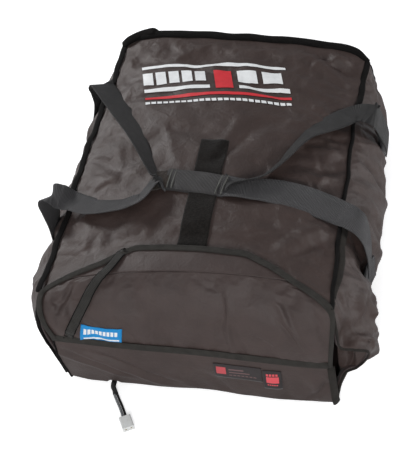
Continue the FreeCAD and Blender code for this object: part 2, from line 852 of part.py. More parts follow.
def make_lead():
    low = cover_thick + hinge_tape_thick + 2 * layer_gap
    grommet = block(
        V(lead_exit_x - grommet_width / 2, front_y, low),
        V(lead_exit_x + grommet_width / 2, mouth_y - layer_gap, low + grommet_height),
        grommet_round, V(0, 1, 0),
    )
    save("lead_grommet", grommet)
    sleeve = Part.makeLoft([
        stadium_wire(sleeve_start, V(0, -1, 0), sleeve_diameter + layer_gap, sleeve_diameter),
        stadium_wire(lead_route[0], lead_route[1] - lead_route[0], sleeve_end_width, sleeve_end_height),
    ], True, True)
    save("lead_sleeve", sleeve)
    way = (lead_route[-1] - lead_route[-2]).normalize()
    level_way = V(way.x, way.y, 0).normalize()
    beside = level_way.cross(V(0, 0, 1))
    boot_end = lead_route[-1] + level_way * boot_length
    for name, side, boot in (("grey", 1, grey_boot_diameter), ("black", -1, black_boot_diameter)):
        shift = beside * (lead_spacing / 2 * side)
        points = [p + shift for p in lead_route]
        points[0] += (points[1] - points[0]).normalize() * layer_gap
        save(name + "_lead", tangent_tube(points, lead_diameter, name + " lead"))
        start = points[-1]
        end = start + level_way * boot_length
        half_gap = lead_spacing - layer_gap
        slim = min(boot, half_gap)
        save(name + "_boot", Part.makeLoft([
            upright_oval(start, level_way, slim, boot * boot_taper),
            upright_oval(end, level_way, slim, boot),
        ], True, True))
    centre = boot_end + V(0, 0, connector_height / 2 - boot_end.z)
    make_connector(centre, level_way)


def upright_oval(centre, way, width, height):
    """A rounded slot across a level direction, its length upright and clear of the floor."""
    level = way.cross(V(0, 0, 1)).normalize()
    height = min(height, 2 * centre.z - layer_gap)
    reach = max((height - width) / 2, layer_gap)
    side = level * (width / 2)
    top = centre + V(0, 0, reach)
    foot = centre - V(0, 0, reach)
    cap = V(0, 0, width / 2)
    return Part.Wire([
        Part.LineSegment(foot + side, top + side).toShape(),
        Part.Arc(top + side, top + cap, top - side).toShape(),
        Part.LineSegment(top - side, foot - side).toShape(),
        Part.Arc(foot - side, foot - cap, foot + side).toShape(),
    ])


def make_connector(centre, way):
    """The two-pole housing, built along +X at the origin and then laid along the lead."""
    length = connector_length
    half = connector_width / 2
    housing = block(
        V(0, -half, -connector_height / 2), V(length, half, connector_height / 2),
        connector_round, V(1, 0, 0),
    )
    contacts = []
    across = V(1, 0, 0)
    for side in (-1, 1):
        back = V(length - contact_setback - contact_length, side * contact_pitch / 2, 0)
        hole_length = contact_length + contact_setback
        hole = Part.makeCylinder(contact_diameter / 2 + contact_clearance, hole_length, back, across)
        housing = housing.cut(hole)
        sleeve = Part.makeCylinder(contact_diameter / 2, contact_length, back, across)
        contacts.append(sleeve.cut(Part.makeCylinder(contact_bore / 2, contact_length, back, across)))
    turn = FreeCAD.Rotation(V(1, 0, 0), way)
    place = FreeCAD.Placement(centre, turn)
    save("connector_housing", housing.transformGeometry(place.toMatrix()))
    save("contact_sockets", Part.makeCompound(contacts).transformGeometry(place.toMatrix()))


make_base()
make_heater()
make_gussets()
make_rear()
make_top()
make_front_wall()
make_lid()
make_tongue()
make_handles()
make_pull_strap()
make_lead()
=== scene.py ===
"""Looks of the soft heated blanket bag: cloth walls, bindings, webbing handles, labels, lead, studio."""

import json
import math

import bmesh
import bpy
from mathutils import Matrix, Vector, noise
from mathutils.bvhtree import BVHTree

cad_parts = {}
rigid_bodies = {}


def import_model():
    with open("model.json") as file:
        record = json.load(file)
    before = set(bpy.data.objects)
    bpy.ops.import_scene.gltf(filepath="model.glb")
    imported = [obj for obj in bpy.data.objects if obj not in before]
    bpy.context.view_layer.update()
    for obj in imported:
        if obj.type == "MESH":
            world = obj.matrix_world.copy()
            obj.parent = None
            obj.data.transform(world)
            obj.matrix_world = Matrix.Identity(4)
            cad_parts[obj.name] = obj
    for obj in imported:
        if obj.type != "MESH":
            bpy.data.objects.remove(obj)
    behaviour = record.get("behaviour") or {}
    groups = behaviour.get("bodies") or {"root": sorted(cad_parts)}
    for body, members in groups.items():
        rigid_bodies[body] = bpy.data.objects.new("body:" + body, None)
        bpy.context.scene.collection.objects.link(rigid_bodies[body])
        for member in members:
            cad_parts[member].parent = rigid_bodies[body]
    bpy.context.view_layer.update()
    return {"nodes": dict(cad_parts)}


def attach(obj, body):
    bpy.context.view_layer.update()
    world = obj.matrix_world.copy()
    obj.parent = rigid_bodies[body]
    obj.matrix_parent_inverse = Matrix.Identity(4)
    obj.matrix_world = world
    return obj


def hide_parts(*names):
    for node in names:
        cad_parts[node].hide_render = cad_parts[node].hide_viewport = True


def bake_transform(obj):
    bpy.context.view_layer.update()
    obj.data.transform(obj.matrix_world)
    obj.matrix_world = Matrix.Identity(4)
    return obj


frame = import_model()

# Sizes of the bag, in metres
HALF_WIDTH = 0.250
HALF_LENGTH = 0.330
SEAM_HEIGHT = 0.210
CROWN = 0.038
TWIST = 0.015
WALL = 0.0095
BASE_HALF = 0.243
BASE_THICK = 0.015
FLAP_HALF = 0.243
FOLD_MIDDLE = 0.121
FOLD_TILT = 0.015
CREASE_Y = -0.262
FLAP_FACE_Y = -0.331
TOP_FRONT_Y = -0.247
REAR_BULGE = 0.024
WEBBING = 0.050
WEBBING_THICK = 0.0024


# Small maths
def ramp(low, high, value):
    """0 below low, 1 above high, smooth between them."""
    t = min(1.0, max(0.0, (value - low) / (high - low)))
    return t * t * (3 - 2 * t)


def mix(a, b, t):
    return a + (b - a) * t


def spline(points, t):
    """Catmull-Rom curve through points at t from 0 to 1."""
    spans = len(points) - 1
    place = min(max(t, 0.0), 1.0) * spans
    k = min(int(place), spans - 1)
    f = place - k
    p = [Vector(points[min(max(k + d, 0), spans)]) for d in (-1, 0, 1, 2)]
    return 0.5 * (
        2 * p[1] + (p[2] - p[0]) * f + (2 * p[0] - 5 * p[1] + 4 * p[2] - p[3]) * f * f
        + (3 * p[1] - p[0] - 3 * p[2] + p[3]) * f * f * f
    )


def lerp_table(table, value):
    """Linear reading of a table of (place, value) pairs, eased between them."""
    if value <= table[0][0]:
        return table[0][1]
    for (a, va), (b, vb) in zip(table, table[1:]):
        if value <= b:
            return mix(va, vb, ramp(a, b, value))
    return table[-1][1]


def rough(p, scale, seed=0.0):
    return noise.noise(Vector((p[0], p[1], p[2])) / scale + Vector((seed, seed * 1.7, -seed)))


# Materials
class Shader:
    """A principled material with short helpers for its nodes."""

    def __init__(self, name, color, roughness, sheen=0.0, specular=0.5, metallic=0.0, coat=0.0):
        self.material = bpy.data.materials.new(name)
        self.material.use_nodes = True
        self.tree = self.material.node_tree
        self.bsdf = self.tree.nodes["Principled BSDF"]
        self.color = color
        self.set("Base Color", (*color, 1.0))
        self.set("Roughness", roughness)
        self.set("Specular IOR Level", specular)
        self.set("Metallic", metallic)
        self.set("Sheen Weight", sheen)
        self.set("Sheen Roughness", 0.45)
        self.set("Coat Weight", coat)
        self.coords = self.node("ShaderNodeTexCoord").outputs["Object"]
        self.bump_out = None

    def set(self, socket, value):
        self.bsdf.inputs[socket].default_value = value

    def node(self, kind, **settings):
        made = self.tree.nodes.new(kind)
        for key, value in settings.items():
            setattr(made, key, value)
        return made

    def link(self, a, b):
        self.tree.links.new(a, b)

    def stretched(self, scale, source=None):
        """Texture coordinates scaled by a vector."""
        mapping = self.node("ShaderNodeMapping")
        mapping.inputs["Scale"].default_value = scale
        self.link(source or self.coords, mapping.inputs["Vector"])
        return mapping.outputs["Vector"]

    def noise(self, pitch, detail=3.0, distortion=0.0, coords=None):
        made = self.node("ShaderNodeTexNoise")
        made.inputs["Scale"].default_value = 1.0 / pitch
        made.inputs["Detail"].default_value = detail
        made.inputs["Distortion"].default_value = distortion
        self.link(coords or self.coords, made.inputs["Vector"])
        return made.outputs["Fac"]

    def wave(self, pitch, direction, coords=None, distortion=0.0):
        made = self.node("ShaderNodeTexWave", bands_direction=direction)
        made.inputs["Scale"].default_value = 0.314 / pitch
        made.inputs["Distortion"].default_value = distortion
        self.link(coords or self.coords, made.inputs["Vector"])
        return made.outputs["Fac"]

    def uv(self):
        return self.node("ShaderNodeUVMap", uv_map="UVMap").outputs["UV"]

    def blend(self, a, b, factor):
        """A colour between two, by a factor socket."""
        made = self.node("ShaderNodeMix", data_type="RGBA")
        for socket, value in ((made.inputs[6], a), (made.inputs[7], b)):
            if isinstance(value, tuple):
                socket.default_value = (*value, 1.0)
            else:
                self.link(value, socket)
        self.link(factor, made.inputs[0])
        return made.outputs[2]

    def remap(self, value, low, high, to_low, to_high):
        made = self.node("ShaderNodeMapRange")
        for key, number in (("From Min", low), ("From Max", high), ("To Min", to_low), ("To Max", to_high)):
            made.inputs[key].default_value = number
        self.link(value, made.inputs["Value"])
        return made.outputs["Result"]

    def maths(self, operation, a, b=None):
        made = self.node("ShaderNodeMath", operation=operation)
        for k, value in enumerate((a, b)):
            if value is None:
                continue
            if isinstance(value, (int, float)):
                made.inputs[k].default_value = value
            else:
                self.link(value, made.inputs[k])
        return made.outputs[0]

    def bump(self, height, distance, strength=1.0):
        made = self.node("ShaderNodeBump")
        made.inputs["Distance"].default_value = distance
        made.inputs["Strength"].default_value = strength
        self.link(height, made.inputs["Height"])
        if self.bump_out:
            self.link(self.bump_out, made.inputs["Normal"])
        self.bump_out = made.outputs["Normal"]
        self.link(self.bump_out, self.bsdf.inputs["Normal"])

    def shade(self, amount, pitch, detail=4.0):
        """Varies the base colour by a soft noise."""
        dark = tuple(c * (1 - amount) for c in self.color)
        pale = tuple(min(1.0, c * (1 + amount)) for c in self.color)
        factor = self.remap(self.noise(pitch, detail), 0.3, 0.7, 0.0, 1.0)
        self.link(self.blend(dark, pale, factor), self.bsdf.inputs["Base Color"])

    def vary_roughness(self, low, high, pitch):
        self.link(self.remap(self.noise(pitch, 3.0), 0.3, 0.7, low, high), self.bsdf.inputs["Roughness"])


def srgb(r, g, b):
    """A display colour from 0 to 255, as a linear one."""
    def one(c):
        c /= 255
        return c / 12.92 if c <= 0.04045 else ((c + 0.055) / 1.055) ** 2.4
    return (one(r), one(g), one(b))


def make_cloth(name, color, crinkle, roughness=0.50, sheen=0.04):
    """Coated plain-weave polyester: fine weave, soft crinkles, worn patches."""
    s = Shader(name, color, roughness, sheen=sheen, specular=0.42)
    s.shade(0.12, 0.035)
    s.vary_roughness(roughness - 0.06, roughness + 0.08, 0.05)
    s.bump(s.noise(0.022, 5.0, 0.6), crinkle)
    s.bump(s.noise(0.006, 3.0), crinkle * 0.22)
    weave = s.maths("ADD", s.wave(0.0009, "X"), s.wave(0.0009, "Y"))
    weave = s.maths("ADD", weave, s.wave(0.0009, "Z"))
    s.bump(weave, 0.00012, 0.5)
    return s.material


def make_lining(name, color):
    """Wipe-clean inner cloth with a coated face."""
    s = Shader(name, color, 0.42, sheen=0.1, specular=0.5)
    s.shade(0.12, 0.05)
    s.vary_roughness(0.34, 0.5, 0.04)
    s.bump(s.noise(0.03, 4.0, 0.4), 0.0012)
    s.bump(s.wave(0.0012, "X"), 0.0001, 0.4)
    return s.material


def make_tape(name, color, roughness=0.8):
    """Woven binding tape: ribs along and across, a little fuzz."""
    s = Shader(name, color, roughness, sheen=0.01, specular=0.15)
    s.shade(0.2, 0.012)
    uv = s.uv()
    s.bump(s.wave(0.0016, "X", uv), 0.00035)
    s.bump(s.wave(0.0011, "Y", uv), 0.0002, 0.6)
    s.bump(s.noise(0.003, 3.0), 0.0003)
    return s.material


def make_webbing(name, color):
    """Ribbed polyamide webbing: weft ribs across, fine warp along, rib valleys painted darker as shade, rib
    tops paler as wear and painted highlight.
    """
    s = Shader(name, color, 0.62, sheen=0.06, specular=0.30)
    uv = s.uv()
    ribs = s.wave(0.0024, "X", uv)
    warp = s.wave(0.0011, "Y", uv)
    # The colour follows the ribs: the darker valleys are painted shade, and the paler rib tops are partly
    # wear, partly painted highlight.
    dark = tuple(c * 0.66 for c in color)
    pale = tuple(c * 1.30 for c in color)
    rib_shade_and_wear = s.maths("MULTIPLY", ribs, s.remap(s.noise(0.03, 3.0), 0.3, 0.7, 0.55, 1.0))
    s.link(s.blend(dark, pale, rib_shade_and_wear), s.bsdf.inputs["Base Color"])
    s.vary_roughness(0.52, 0.7, 0.02)
    s.bump(ribs, 0.0006)
    s.bump(warp, 0.00018, 0.6)
    return s.material


def make_pile(name, color):
    """Brushed loops of a hook-and-loop strip."""
    s = Shader(name, color, 0.95, sheen=0.12, specular=0.08)
    s.shade(0.45, 0.0035, 5.0)
    s.bump(s.noise(0.0022, 5.0, 0.8), 0.0012)
    s.bump(s.noise(0.012, 2.0), 0.0008)
    return s.material


def make_moulded(name, color, roughness, specular=0.5, coat=0.0, grain=0.00015):
    s = Shader(name, color, roughness, specular=specular, coat=coat)
    s.shade(0.06, 0.01)
    s.vary_roughness(max(0.05, roughness - 0.06), roughness + 0.06, 0.006)
    s.bump(s.noise(0.0012, 3.0), grain)
    return s.material


def make_metal(name, color):
    s = Shader(name, color, 0.28, metallic=1.0)
    s.shade(0.1, 0.003)
    s.bump(s.noise(0.001, 2.0), 0.00005)
    return s.material


def make_label(name, ground, inks, bars):
    """A woven label: bars is a list of (left, right, low, high, ink, pieces), as shares of the label."""
    s = Shader(name, ground, 0.6, sheen=0.15, specular=0.4)
    uv = s.uv()
    split = s.node("ShaderNodeSeparateXYZ")
    s.link(uv, split.inputs[0])
    u, v = split.outputs[0], split.outputs[1]
    darker = tuple(c * 0.9 for c in ground)
    paler = tuple(min(1, c * 1.1) for c in ground)
    color = s.blend(darker, paler, s.noise(0.004, 2.0))
    for left, right, low, high, ink, pieces in bars:
        inside = s.maths("GREATER_THAN", u, left)
        limits = ((right, "LESS_THAN", u), (low, "GREATER_THAN", v), (high, "LESS_THAN", v))
        for value, operation, socket in limits:
            inside = s.maths("MULTIPLY", inside, s.maths(operation, socket, value))
        if pieces > 1:
            across = s.maths("MULTIPLY", s.maths("SUBTRACT", u, left), pieces / (right - left))
            inside = s.maths("MULTIPLY", inside, s.maths("LESS_THAN", s.maths("FRACT", across), 0.72))
        color = s.blend(color, inks[ink], inside)
    s.link(color, s.bsdf.inputs["Base Color"])
    s.bump(s.wave(0.0009, "X"), 0.00012)
    s.bump(s.noise(0.01, 2.0), 0.0004)
    return s.material


WHITE = srgb(238, 240, 240)
RED = srgb(214, 52, 60)
DUSTY_RED = srgb(196, 78, 84)
MATERIALS = {
    "cover_cloth": make_cloth("cover_cloth", srgb(62, 49, 45), 0.0022),
    "flap_cloth": make_cloth("flap_cloth", srgb(64, 52, 49), 0.0014, 0.55),
    "liner_film": make_lining("liner_film", srgb(62, 51, 50)),
    "black_binding": make_tape("black_binding", srgb(15, 13, 12)),
    # A paler grey-brown binding, used for the right seam band, the right mouth tape and the right wall tape.
    "pale_binding": make_tape("pale_binding", srgb(46, 43, 40)),
    "grey_binding": make_tape("grey_binding", srgb(54, 52, 49)),
    "webbing": make_webbing("webbing", srgb(69, 68, 69)),
    # The rear straps' webbing: the same webbing as the front straps, painted darker as shade.
    "shaded_webbing": make_webbing("shaded_webbing", srgb(42, 41, 41)),
    "pull_webbing": make_webbing("pull_webbing", srgb(47, 45, 42)),
    "grip_cloth": make_webbing("grip_cloth", srgb(58, 56, 56)),
    "bar_thread": make_moulded("bar_thread", srgb(88, 88, 84), 0.7, 0.3),
    "loop_pile": make_pile("loop_pile", srgb(28, 25, 23)),
    "brown_pile": make_pile("brown_pile", srgb(58, 52, 48)),
    "hook_face": make_pile("hook_face", srgb(26, 26, 26)),
    "heater_film": make_moulded("heater_film", srgb(205, 146, 96), 0.5),
    "device_plastic": make_moulded("device_plastic", srgb(238, 235, 228), 0.5),
    "inner_wire": make_moulded("inner_wire", srgb(200, 60, 50), 0.5),
    "black_rubber": make_moulded("black_rubber", srgb(28, 28, 28), 0.6, 0.35),
    "sleeve_vinyl": make_moulded("sleeve_vinyl", srgb(34, 34, 33), 0.45, 0.4),
    "grey_jacket": make_moulded("grey_jacket", srgb(130, 133, 134), 0.45),
    "grey_rubber": make_moulded("grey_rubber", srgb(122, 124, 126), 0.5),
    "black_jacket": make_moulded("black_jacket", srgb(24, 24, 24), 0.4),
    "white_plastic": make_moulded("white_plastic", srgb(240, 241, 238), 0.32, 0.5, 0.2),
    "pin_metal": make_metal("pin_metal", srgb(226, 200, 140)),
    "white_print": make_moulded("white_print", WHITE, 0.5, 0.4, grain=0.0003),
    "red_print": make_moulded("red_print", RED, 0.5, 0.4, grain=0.0003),
    "thread": make_moulded("thread", srgb(48, 46, 44), 0.7, 0.3),
    "blue_woven": make_label(
        "blue_woven", srgb(6, 138, 206), [WHITE],
        [(0.08, 0.92, 0.52, 0.80, 0, 9), (0.08, 0.94, 0.20, 0.30, 0, 1)],
    ),
    "care_woven": make_label(
        "care_woven", srgb(48, 42, 42), [DUSTY_RED, srgb(110, 84, 84)],
        [(0.05, 0.25, 0.30, 0.80, 0, 1), (0.31, 0.62, 0.62, 0.72, 1, 1), (0.31, 0.74, 0.42, 0.50, 1, 1),
         (0.31, 0.90, 0.22, 0.29, 1, 7)],
    ),
    "heat_woven": make_label(
        "heat_woven", srgb(42, 38, 38), [srgb(226, 84, 92)],
        [(0.16, 0.84, 0.34, 0.66, 0, 1), (0.16, 0.84, 0.70, 0.82, 0, 4), (0.20, 0.80, 0.20, 0.26, 0, 5)],
    ),
}


# Mesh helpers
def new_object(name, mesh):
    made = bpy.data.objects.new(name, mesh)
    bpy.context.scene.collection.objects.link(made)
    return made


def finish_piece(piece, body, materials, replaced=()):
    """Gives a piece its materials, smooth faces, body, slot and the nodes it stands for."""
    for key in materials:
        piece.data.materials.append(MATERIALS[key])
    for polygon in getattr(piece.data, "polygons", []):
        polygon.use_smooth = True
    if isinstance(body, str):
        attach(piece, body)
    if replaced:
        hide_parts(*replaced)
    return piece


def grid(name, columns, rows, place, closed=False):
    """A sheet of quads: place(u, v) gives each point, u and v from 0 to 1; UVs are in metres."""
    points = [[place(c / columns, r / rows) for c in range(columns + 1)] for r in range(rows + 1)]
    mesh = bpy.data.meshes.new(name)
    flat = [p for row in points for p in row]
    width = columns + 1
    faces = []
    for r in range(rows):
        for c in range(columns):
            a = r * width + c
            faces.append((a, a + 1, a + width + 1, a + width))
    mesh.from_pydata(flat, [], faces)
    along = [[0.0] * width for _ in range(rows + 1)]
    across = [[0.0] * width for _ in range(rows + 1)]
    middle = rows // 2
    for c in range(1, width):
        step = (points[middle][c] - points[middle][c - 1]).length
        for r in range(rows + 1):
            along[r][c] = along[r][c - 1] + step
    for r in range(1, rows + 1):
        step = (points[r][columns // 2] - points[r - 1][columns // 2]).length
        for c in range(width):
            across[r][c] = across[r - 1][c] + step
    uv = mesh.uv_layers.new(name="UVMap")
    for polygon in mesh.polygons:
        for loop in polygon.loop_indices:
            index = mesh.loops[loop].vertex_index
            uv.data[loop].uv = (along[index // width][index % width], across[index // width][index % width])
    mesh.update()
    return new_object(name, mesh)


def outward(piece, away):
    """Flips the faces where they look towards the point away from which they should look."""
    mesh = piece.data
    mesh.update()
    total = sum((p.center - away).dot(p.normal) * p.area for p in mesh.polygons)
    if total < 0:
        mesh.flip_normals()


def thicken(piece, thickness, inner_material=0, rim_material=0, offset=-1.0):
    modifier = piece.modifiers.new("thickness", "SOLIDIFY")
    modifier.thickness = thickness
    modifier.offset = offset
    modifier.use_even_offset = False
    modifier.material_offset = inner_material
    modifier.material_offset_rim = rim_material
    return piece


def subdivide(piece, levels=1):
    modifier = piece.modifiers.new("smooth", "SUBSURF")
    modifier.levels = levels
    modifier.render_levels = levels
    return piece


def baked(piece):
    """Applies the piece's modifiers to its mesh."""
    graph = bpy.context.evaluated_depsgraph_get()
    graph.update()
    mesh = bpy.data.meshes.new_from_object(piece.evaluated_get(graph))
    piece.modifiers.clear()
    piece.data = mesh
    return piece


def sweep(name, path, ups, section, widths=None):
    """A closed section, a list of (across, up) pairs, carried along a path with its up directions."""
    mesh = bpy.data.meshes.new(name)
    points, faces = [], []
    count = len(section)
    stations = len(path)
    lengths = [0.0]
    for k in range(1, stations):
        lengths.append(lengths[-1] + (path[k] - path[k - 1]).length)
    around = [0.0]
    for k in range(count):
        a, b = section[k], section[(k + 1) % count]
        around.append(around[-1] + math.hypot(b[0] - a[0], b[1] - a[1]))
    for k in range(stations):
        ahead = path[min(k + 1, stations - 1)] - path[max(k - 1, 0)]
        across = ups[k].cross(ahead).normalized()
        up = ahead.cross(across).normalized()
        wide = widths[k] if widths else 1.0
        points += [path[k] + across * a * wide + up * b for a, b in section]
    last = stations - 1
    for k in range(last):
        for j in range(count):
            a = k * count + j
            b = k * count + (j + 1) % count
            faces.append((a, b, b + count, a + count))
    faces.append(tuple(range(count - 1, -1, -1)))
    faces.append(tuple(last * count + j for j in range(count)))
    mesh.from_pydata(points, [], faces)
    uv = mesh.uv_layers.new(name="UVMap")
    for index, polygon in enumerate(mesh.polygons):
        side = index % count
        for loop, corner in zip(polygon.loop_indices, range(4)):
            if index >= last * count:
                uv.data[loop].uv = (0.0, 0.0)
                continue
            station = index // count + (corner > 1)
            reach = around[side + 1] if corner in (1, 2) else around[side]
            uv.data[loop].uv = (lengths[min(station, stations - 1)], reach)
    mesh.update()
    made = new_object(name, mesh)
    clean_normals(made)
    return made


def clean_normals(piece):
    work = bmesh.new()
    work.from_mesh(piece.data)
    bmesh.ops.recalc_face_normals(work, faces=work.faces)
    work.to_mesh(piece.data)
    work.free()


def tape_section(width, thick, crown=0.0, steps=6):
    """A flat tape's section with rounded edges and a slight crown."""
    half, rim = width / 2 - thick / 2, thick / 2
    top = [
        (-half + 2 * half * k / steps, rim + crown * (1 - (2 * k / steps - 1) ** 2))
        for k in range(steps + 1)
    ]
    bottom = [(x, y - thick) for x, y in reversed(top)]
    right = [(half + rim * 0.9, rim * 0.45), (half + rim, 0.0 - rim * 0.3)]
    left = [(-half - rim, -rim * 0.3), (-half - rim * 0.9, rim * 0.45)]
    return top + right + bottom + left


def tree_of(piece):
    """A ray-casting tree of a piece as it is shown."""
    graph = bpy.context.evaluated_depsgraph_get()
    graph.update()
    shown = piece.evaluated_get(graph)
    mesh = shown.to_mesh()
    corners = [v.co.copy() for v in mesh.vertices]
    tree = BVHTree.FromPolygons(corners, [tuple(p.vertices) for p in mesh.polygons])
    shown.to_mesh_clear()
    return tree


def dropped(tree, point, direction, lift):
    """The point where a ray along direction from behind the point meets the tree, lifted off it."""
    start = point - direction * 0.08
    hit = tree.ray_cast(start, direction, 0.16)
    where = hit[0] if hit[0] is not None else point
    return where - direction * lift


def crumple(piece, columns, margins, growth, pressure, frames=18, cap=0.010, stiffness=8.0, bending=0.4):
    """A short cloth run with a little spare cloth: natural folds form inside the grid's pinned margins."""
    group = piece.vertex_groups.new(name="pinned")
    start = [v.co.copy() for v in piece.data.vertices]
    rows = len(start) // (columns + 1) - 1
    left, right, low, high = margins
    for index in range(len(start)):
        row, column = divmod(index, columns + 1)
        if column <= left or column >= columns - right or row <= low or row >= rows - high:
            group.add([index], 1.0, "REPLACE")
    modifier = piece.modifiers.new("cloth", "CLOTH")
    settings = modifier.settings
    settings.quality = 6
    settings.mass = 0.25
    settings.tension_stiffness = stiffness
    settings.compression_stiffness = stiffness
    settings.shear_stiffness = stiffness * 0.5
    settings.bending_stiffness = bending
    settings.tension_damping = 8
    settings.compression_damping = 8
    settings.shrink_min = -growth
    settings.vertex_group_mass = "pinned"
    settings.use_pressure = pressure != 0
    settings.uniform_pressure_force = pressure
    settings.effector_weights.gravity = 0.0
    modifier.collision_settings.use_collision = False
    scene = bpy.context.scene
    modifier.point_cache.frame_start = 1
    modifier.point_cache.frame_end = frames
    for step in range(1, frames + 1):
        scene.frame_set(step)
    graph = bpy.context.evaluated_depsgraph_get()
    shown = piece.evaluated_get(graph)
    moved = [v.co.copy() for v in shown.to_mesh().vertices]
    shown.to_mesh_clear()
    piece.modifiers.remove(modifier)
    scene.frame_set(1)
    for vertex, before, after in zip(piece.data.vertices, start, moved):
        shift = after - before
        if shift.length > cap:
            shift *= cap / shift.length
        vertex.co = before + shift
    piece.data.update()
    return piece


def creases(p, scale, seed):
    """Narrow ridges in a loose net, as in crumpled cloth: from 0 between them to 1 along them."""
    return max(0.0, 1 - 5 * abs(rough(p, scale, seed))) ** 1.5


# Folds: (x0, y0, x1, y1, width, depth), on the flat of a wall; a ridge where depth is positive
def folds(table, a, b):
    total = 0.0
    for x0, y0, x1, y1, width, depth in table:
        run_x, run_y = x1 - x0, y1 - y0
        length = math.hypot(run_x, run_y)
        t = ((a - x0) * run_x + (b - y0) * run_y) / (length * length)
        off = ((a - x0) * run_y - (b - y0) * run_x) / length
        fade = ramp(-0.25, 0.3, t) * (1 - ramp(0.7, 1.25, t))
        bend = off + 0.35 * width * math.sin(t * math.pi * 1.6)
        total += depth * fade * math.exp(-(bend / width) ** 2)
    return total


# The walls' shapes
def twist(x, y):
    return -TWIST * (x / HALF_WIDTH) * (y / HALF_LENGTH)


def top_height(x, y):
    """Height of the top panel's smooth outer face: fuller to the rear, with a plump rear right corner."""
    share = min(1.0, abs(x) / HALF_WIDTH)
    full = mix(share ** 2, share ** 4, ramp(0.20, 0.33, y))
    corner = 0.006 * ramp(0.14, 0.23, x) * ramp(0.25, 0.33, y)
    return SEAM_HEIGHT + twist(x, y) + CROWN * (1 - full) + corner


# How far out the side seams lie, from the mouth to the rear
SEAM_LINES = {
    -1: (0.258, 0.254, 0.248, 0.250, 0.2455, 0.240, 0.232, 0.229),
    1: (0.245, 0.242, 0.2395, 0.240, 0.2385, 0.2365, 0.2425, 0.2455),
}


def seam_reach(side, y):
    line = [(reach, 0, 0) for reach in SEAM_LINES[side]]
    return spline(line, (y + 0.30) / 0.63).x + 0.0008 * math.sin(y * 61 + side)


def slant_y(x):
    """Where the lid's slanted edges lie on the top panel."""
    if x > 0:
        return mix(-0.2141, -0.296, (x - 0.1016) / 0.1444)
    return mix(-0.2056, -0.2746, (-x - 0.0985) / 0.16)


TOP_FOLDS = (
    (-0.230, 0.020, -0.120, -0.060, 0.010, -0.0035),
    (-0.170, 0.050, -0.150, -0.090, 0.008, -0.0030),
    (-0.205, -0.060, -0.120, -0.020, 0.009, 0.0030),
    (-0.240, 0.170, -0.190, 0.120, 0.010, -0.0025),
    (-0.110, 0.090, -0.060, -0.010, 0.008, 0.0030),
    (0.030, 0.100, 0.000, 0.000, 0.008, 0.0035),
    (0.055, 0.080, 0.012, -0.020, 0.009, -0.0030),
    (0.240, 0.140, 0.150, 0.110, 0.008, 0.0035),
    (0.240, 0.100, 0.150, 0.080, 0.008, -0.0040),
    (0.235, 0.060, 0.130, 0.045, 0.009, 0.0040),
    (0.240, 0.020, 0.140, 0.000, 0.009, -0.0040),
    (0.235, -0.010, 0.120, -0.030, 0.009, 0.0035),
    (0.235, 0.270, 0.150, 0.300, 0.010, -0.0040),
    (0.225, 0.240, 0.130, 0.285, 0.010, 0.0035),
    (0.180, 0.310, 0.120, 0.250, 0.009, -0.0030),
    (-0.235, 0.300, -0.170, 0.260, 0.012, -0.0030),
    (0.080, -0.130, 0.200, -0.180, 0.014, -0.0025),
    (-0.100, -0.110, -0.060, -0.190, 0.010, -0.0030),
    (-0.215, -0.120, -0.180, -0.230, 0.010, 0.0025),
    (0.210, -0.130, 0.150, -0.200, 0.013, 0.0030),
)


# Where the right straps press the top panel flat
PRESS_LINES = (
    ((0.090, -0.050), (0.108, -0.036), (0.132, -0.002), (0.145, 0.031), (0.160, 0.064),
     (0.180, 0.094), (0.203, 0.121),
     (0.237, 0.153)),
    ((0.060, -0.074), (0.094, -0.072), (0.134, -0.075), (0.173, -0.082), (0.207, -0.089), (0.241, -0.098)),
)


def pressed(x, y):
    """1 under a strap, falling to 0 beside it."""
    place = Vector((x, y))
    near = 1.0
    for line in PRESS_LINES:
        for a, b in zip(line, line[1:]):
            a, b = Vector(a), Vector(b)
            t = max(0.0, min(1.0, (place - a).dot(b - a) / (b - a).length_squared))
            near = min(near, (place - a.lerp(b, t)).length)
    return math.exp(-(near / 0.026) ** 2)


def top_point(x, y, lift=0.0):
    """The top panel's outer face, with its folds and the puckers beside its seams."""
    side = 1 if x > 0 else -1
    inside = seam_reach(side, y) - abs(x)
    pucker = 0.0010 * math.sin(y * 190 + 3 * math.sin(y * 31)) * (1 - ramp(0.0, 0.04, inside))
    soft = 0.0030 * rough((x, y, 0), 0.07, 3.1) + 0.0014 * rough((x, y, 0), 0.028, 7.7)
    inner = ramp(0.0, 0.03, min(inside, HALF_LENGTH - y))
    under = 0.014 * ramp(0.004, 0.024, slant_y(x) - y) * ramp(0.10, 0.14, abs(x))
    wrinkled = 0.2 + 1.5 * ramp(0.06, 0.18, x) + 0.6 * ramp(0.16, 0.28, y)
    soft += 0.0028 * wrinkled * creases((0.40 * x, y + 0.15 * x, 0), 0.040, 21.0)
    soft += 0.0016 * wrinkled * creases((x, y, 0), 0.030, 33.0)
    deep = mix(0.8, 1.9, ramp(0.0, 0.15, x))
    flat = pressed(x, y)
    inner *= 1 - 0.85 * flat
    z = (
        top_height(x, y) + (deep * folds(TOP_FOLDS, x, y) + soft) * inner
        + pucker - under - 0.0025 * flat + lift
    )
    return Vector((x, y, z))


def top_front_y(x):
    """The mouth's edge of the top panel: further forward at its corners, under the lid."""
    return mix(TOP_FRONT_Y, -0.300, ramp(0.11, 0.235, abs(x)))


def make_top():
    def place(u, v):
        rough_x = (2 * u - 1) * 0.245
        y = mix(top_front_y(rough_x), HALF_LENGTH + 0.001, v)
        x = mix(-seam_reach(-1, y), seam_reach(1, y), u)
        return top_point(x, y)

    piece = grid("top_wall", 84, 100, place)
    outward(piece, Vector((0, 0, 0)))
    crumple(piece, 84, (3, 3, 11, 3), 0.022, 0.6, frames=14, cap=0.007)
    thicken(piece, WALL, 1, 1)
    subdivide(piece)
    finish_piece(
        piece, "bag", ("cover_cloth", "liner_film"), ("top_cover", "top_pad", "top_liner")
    )
    return piece


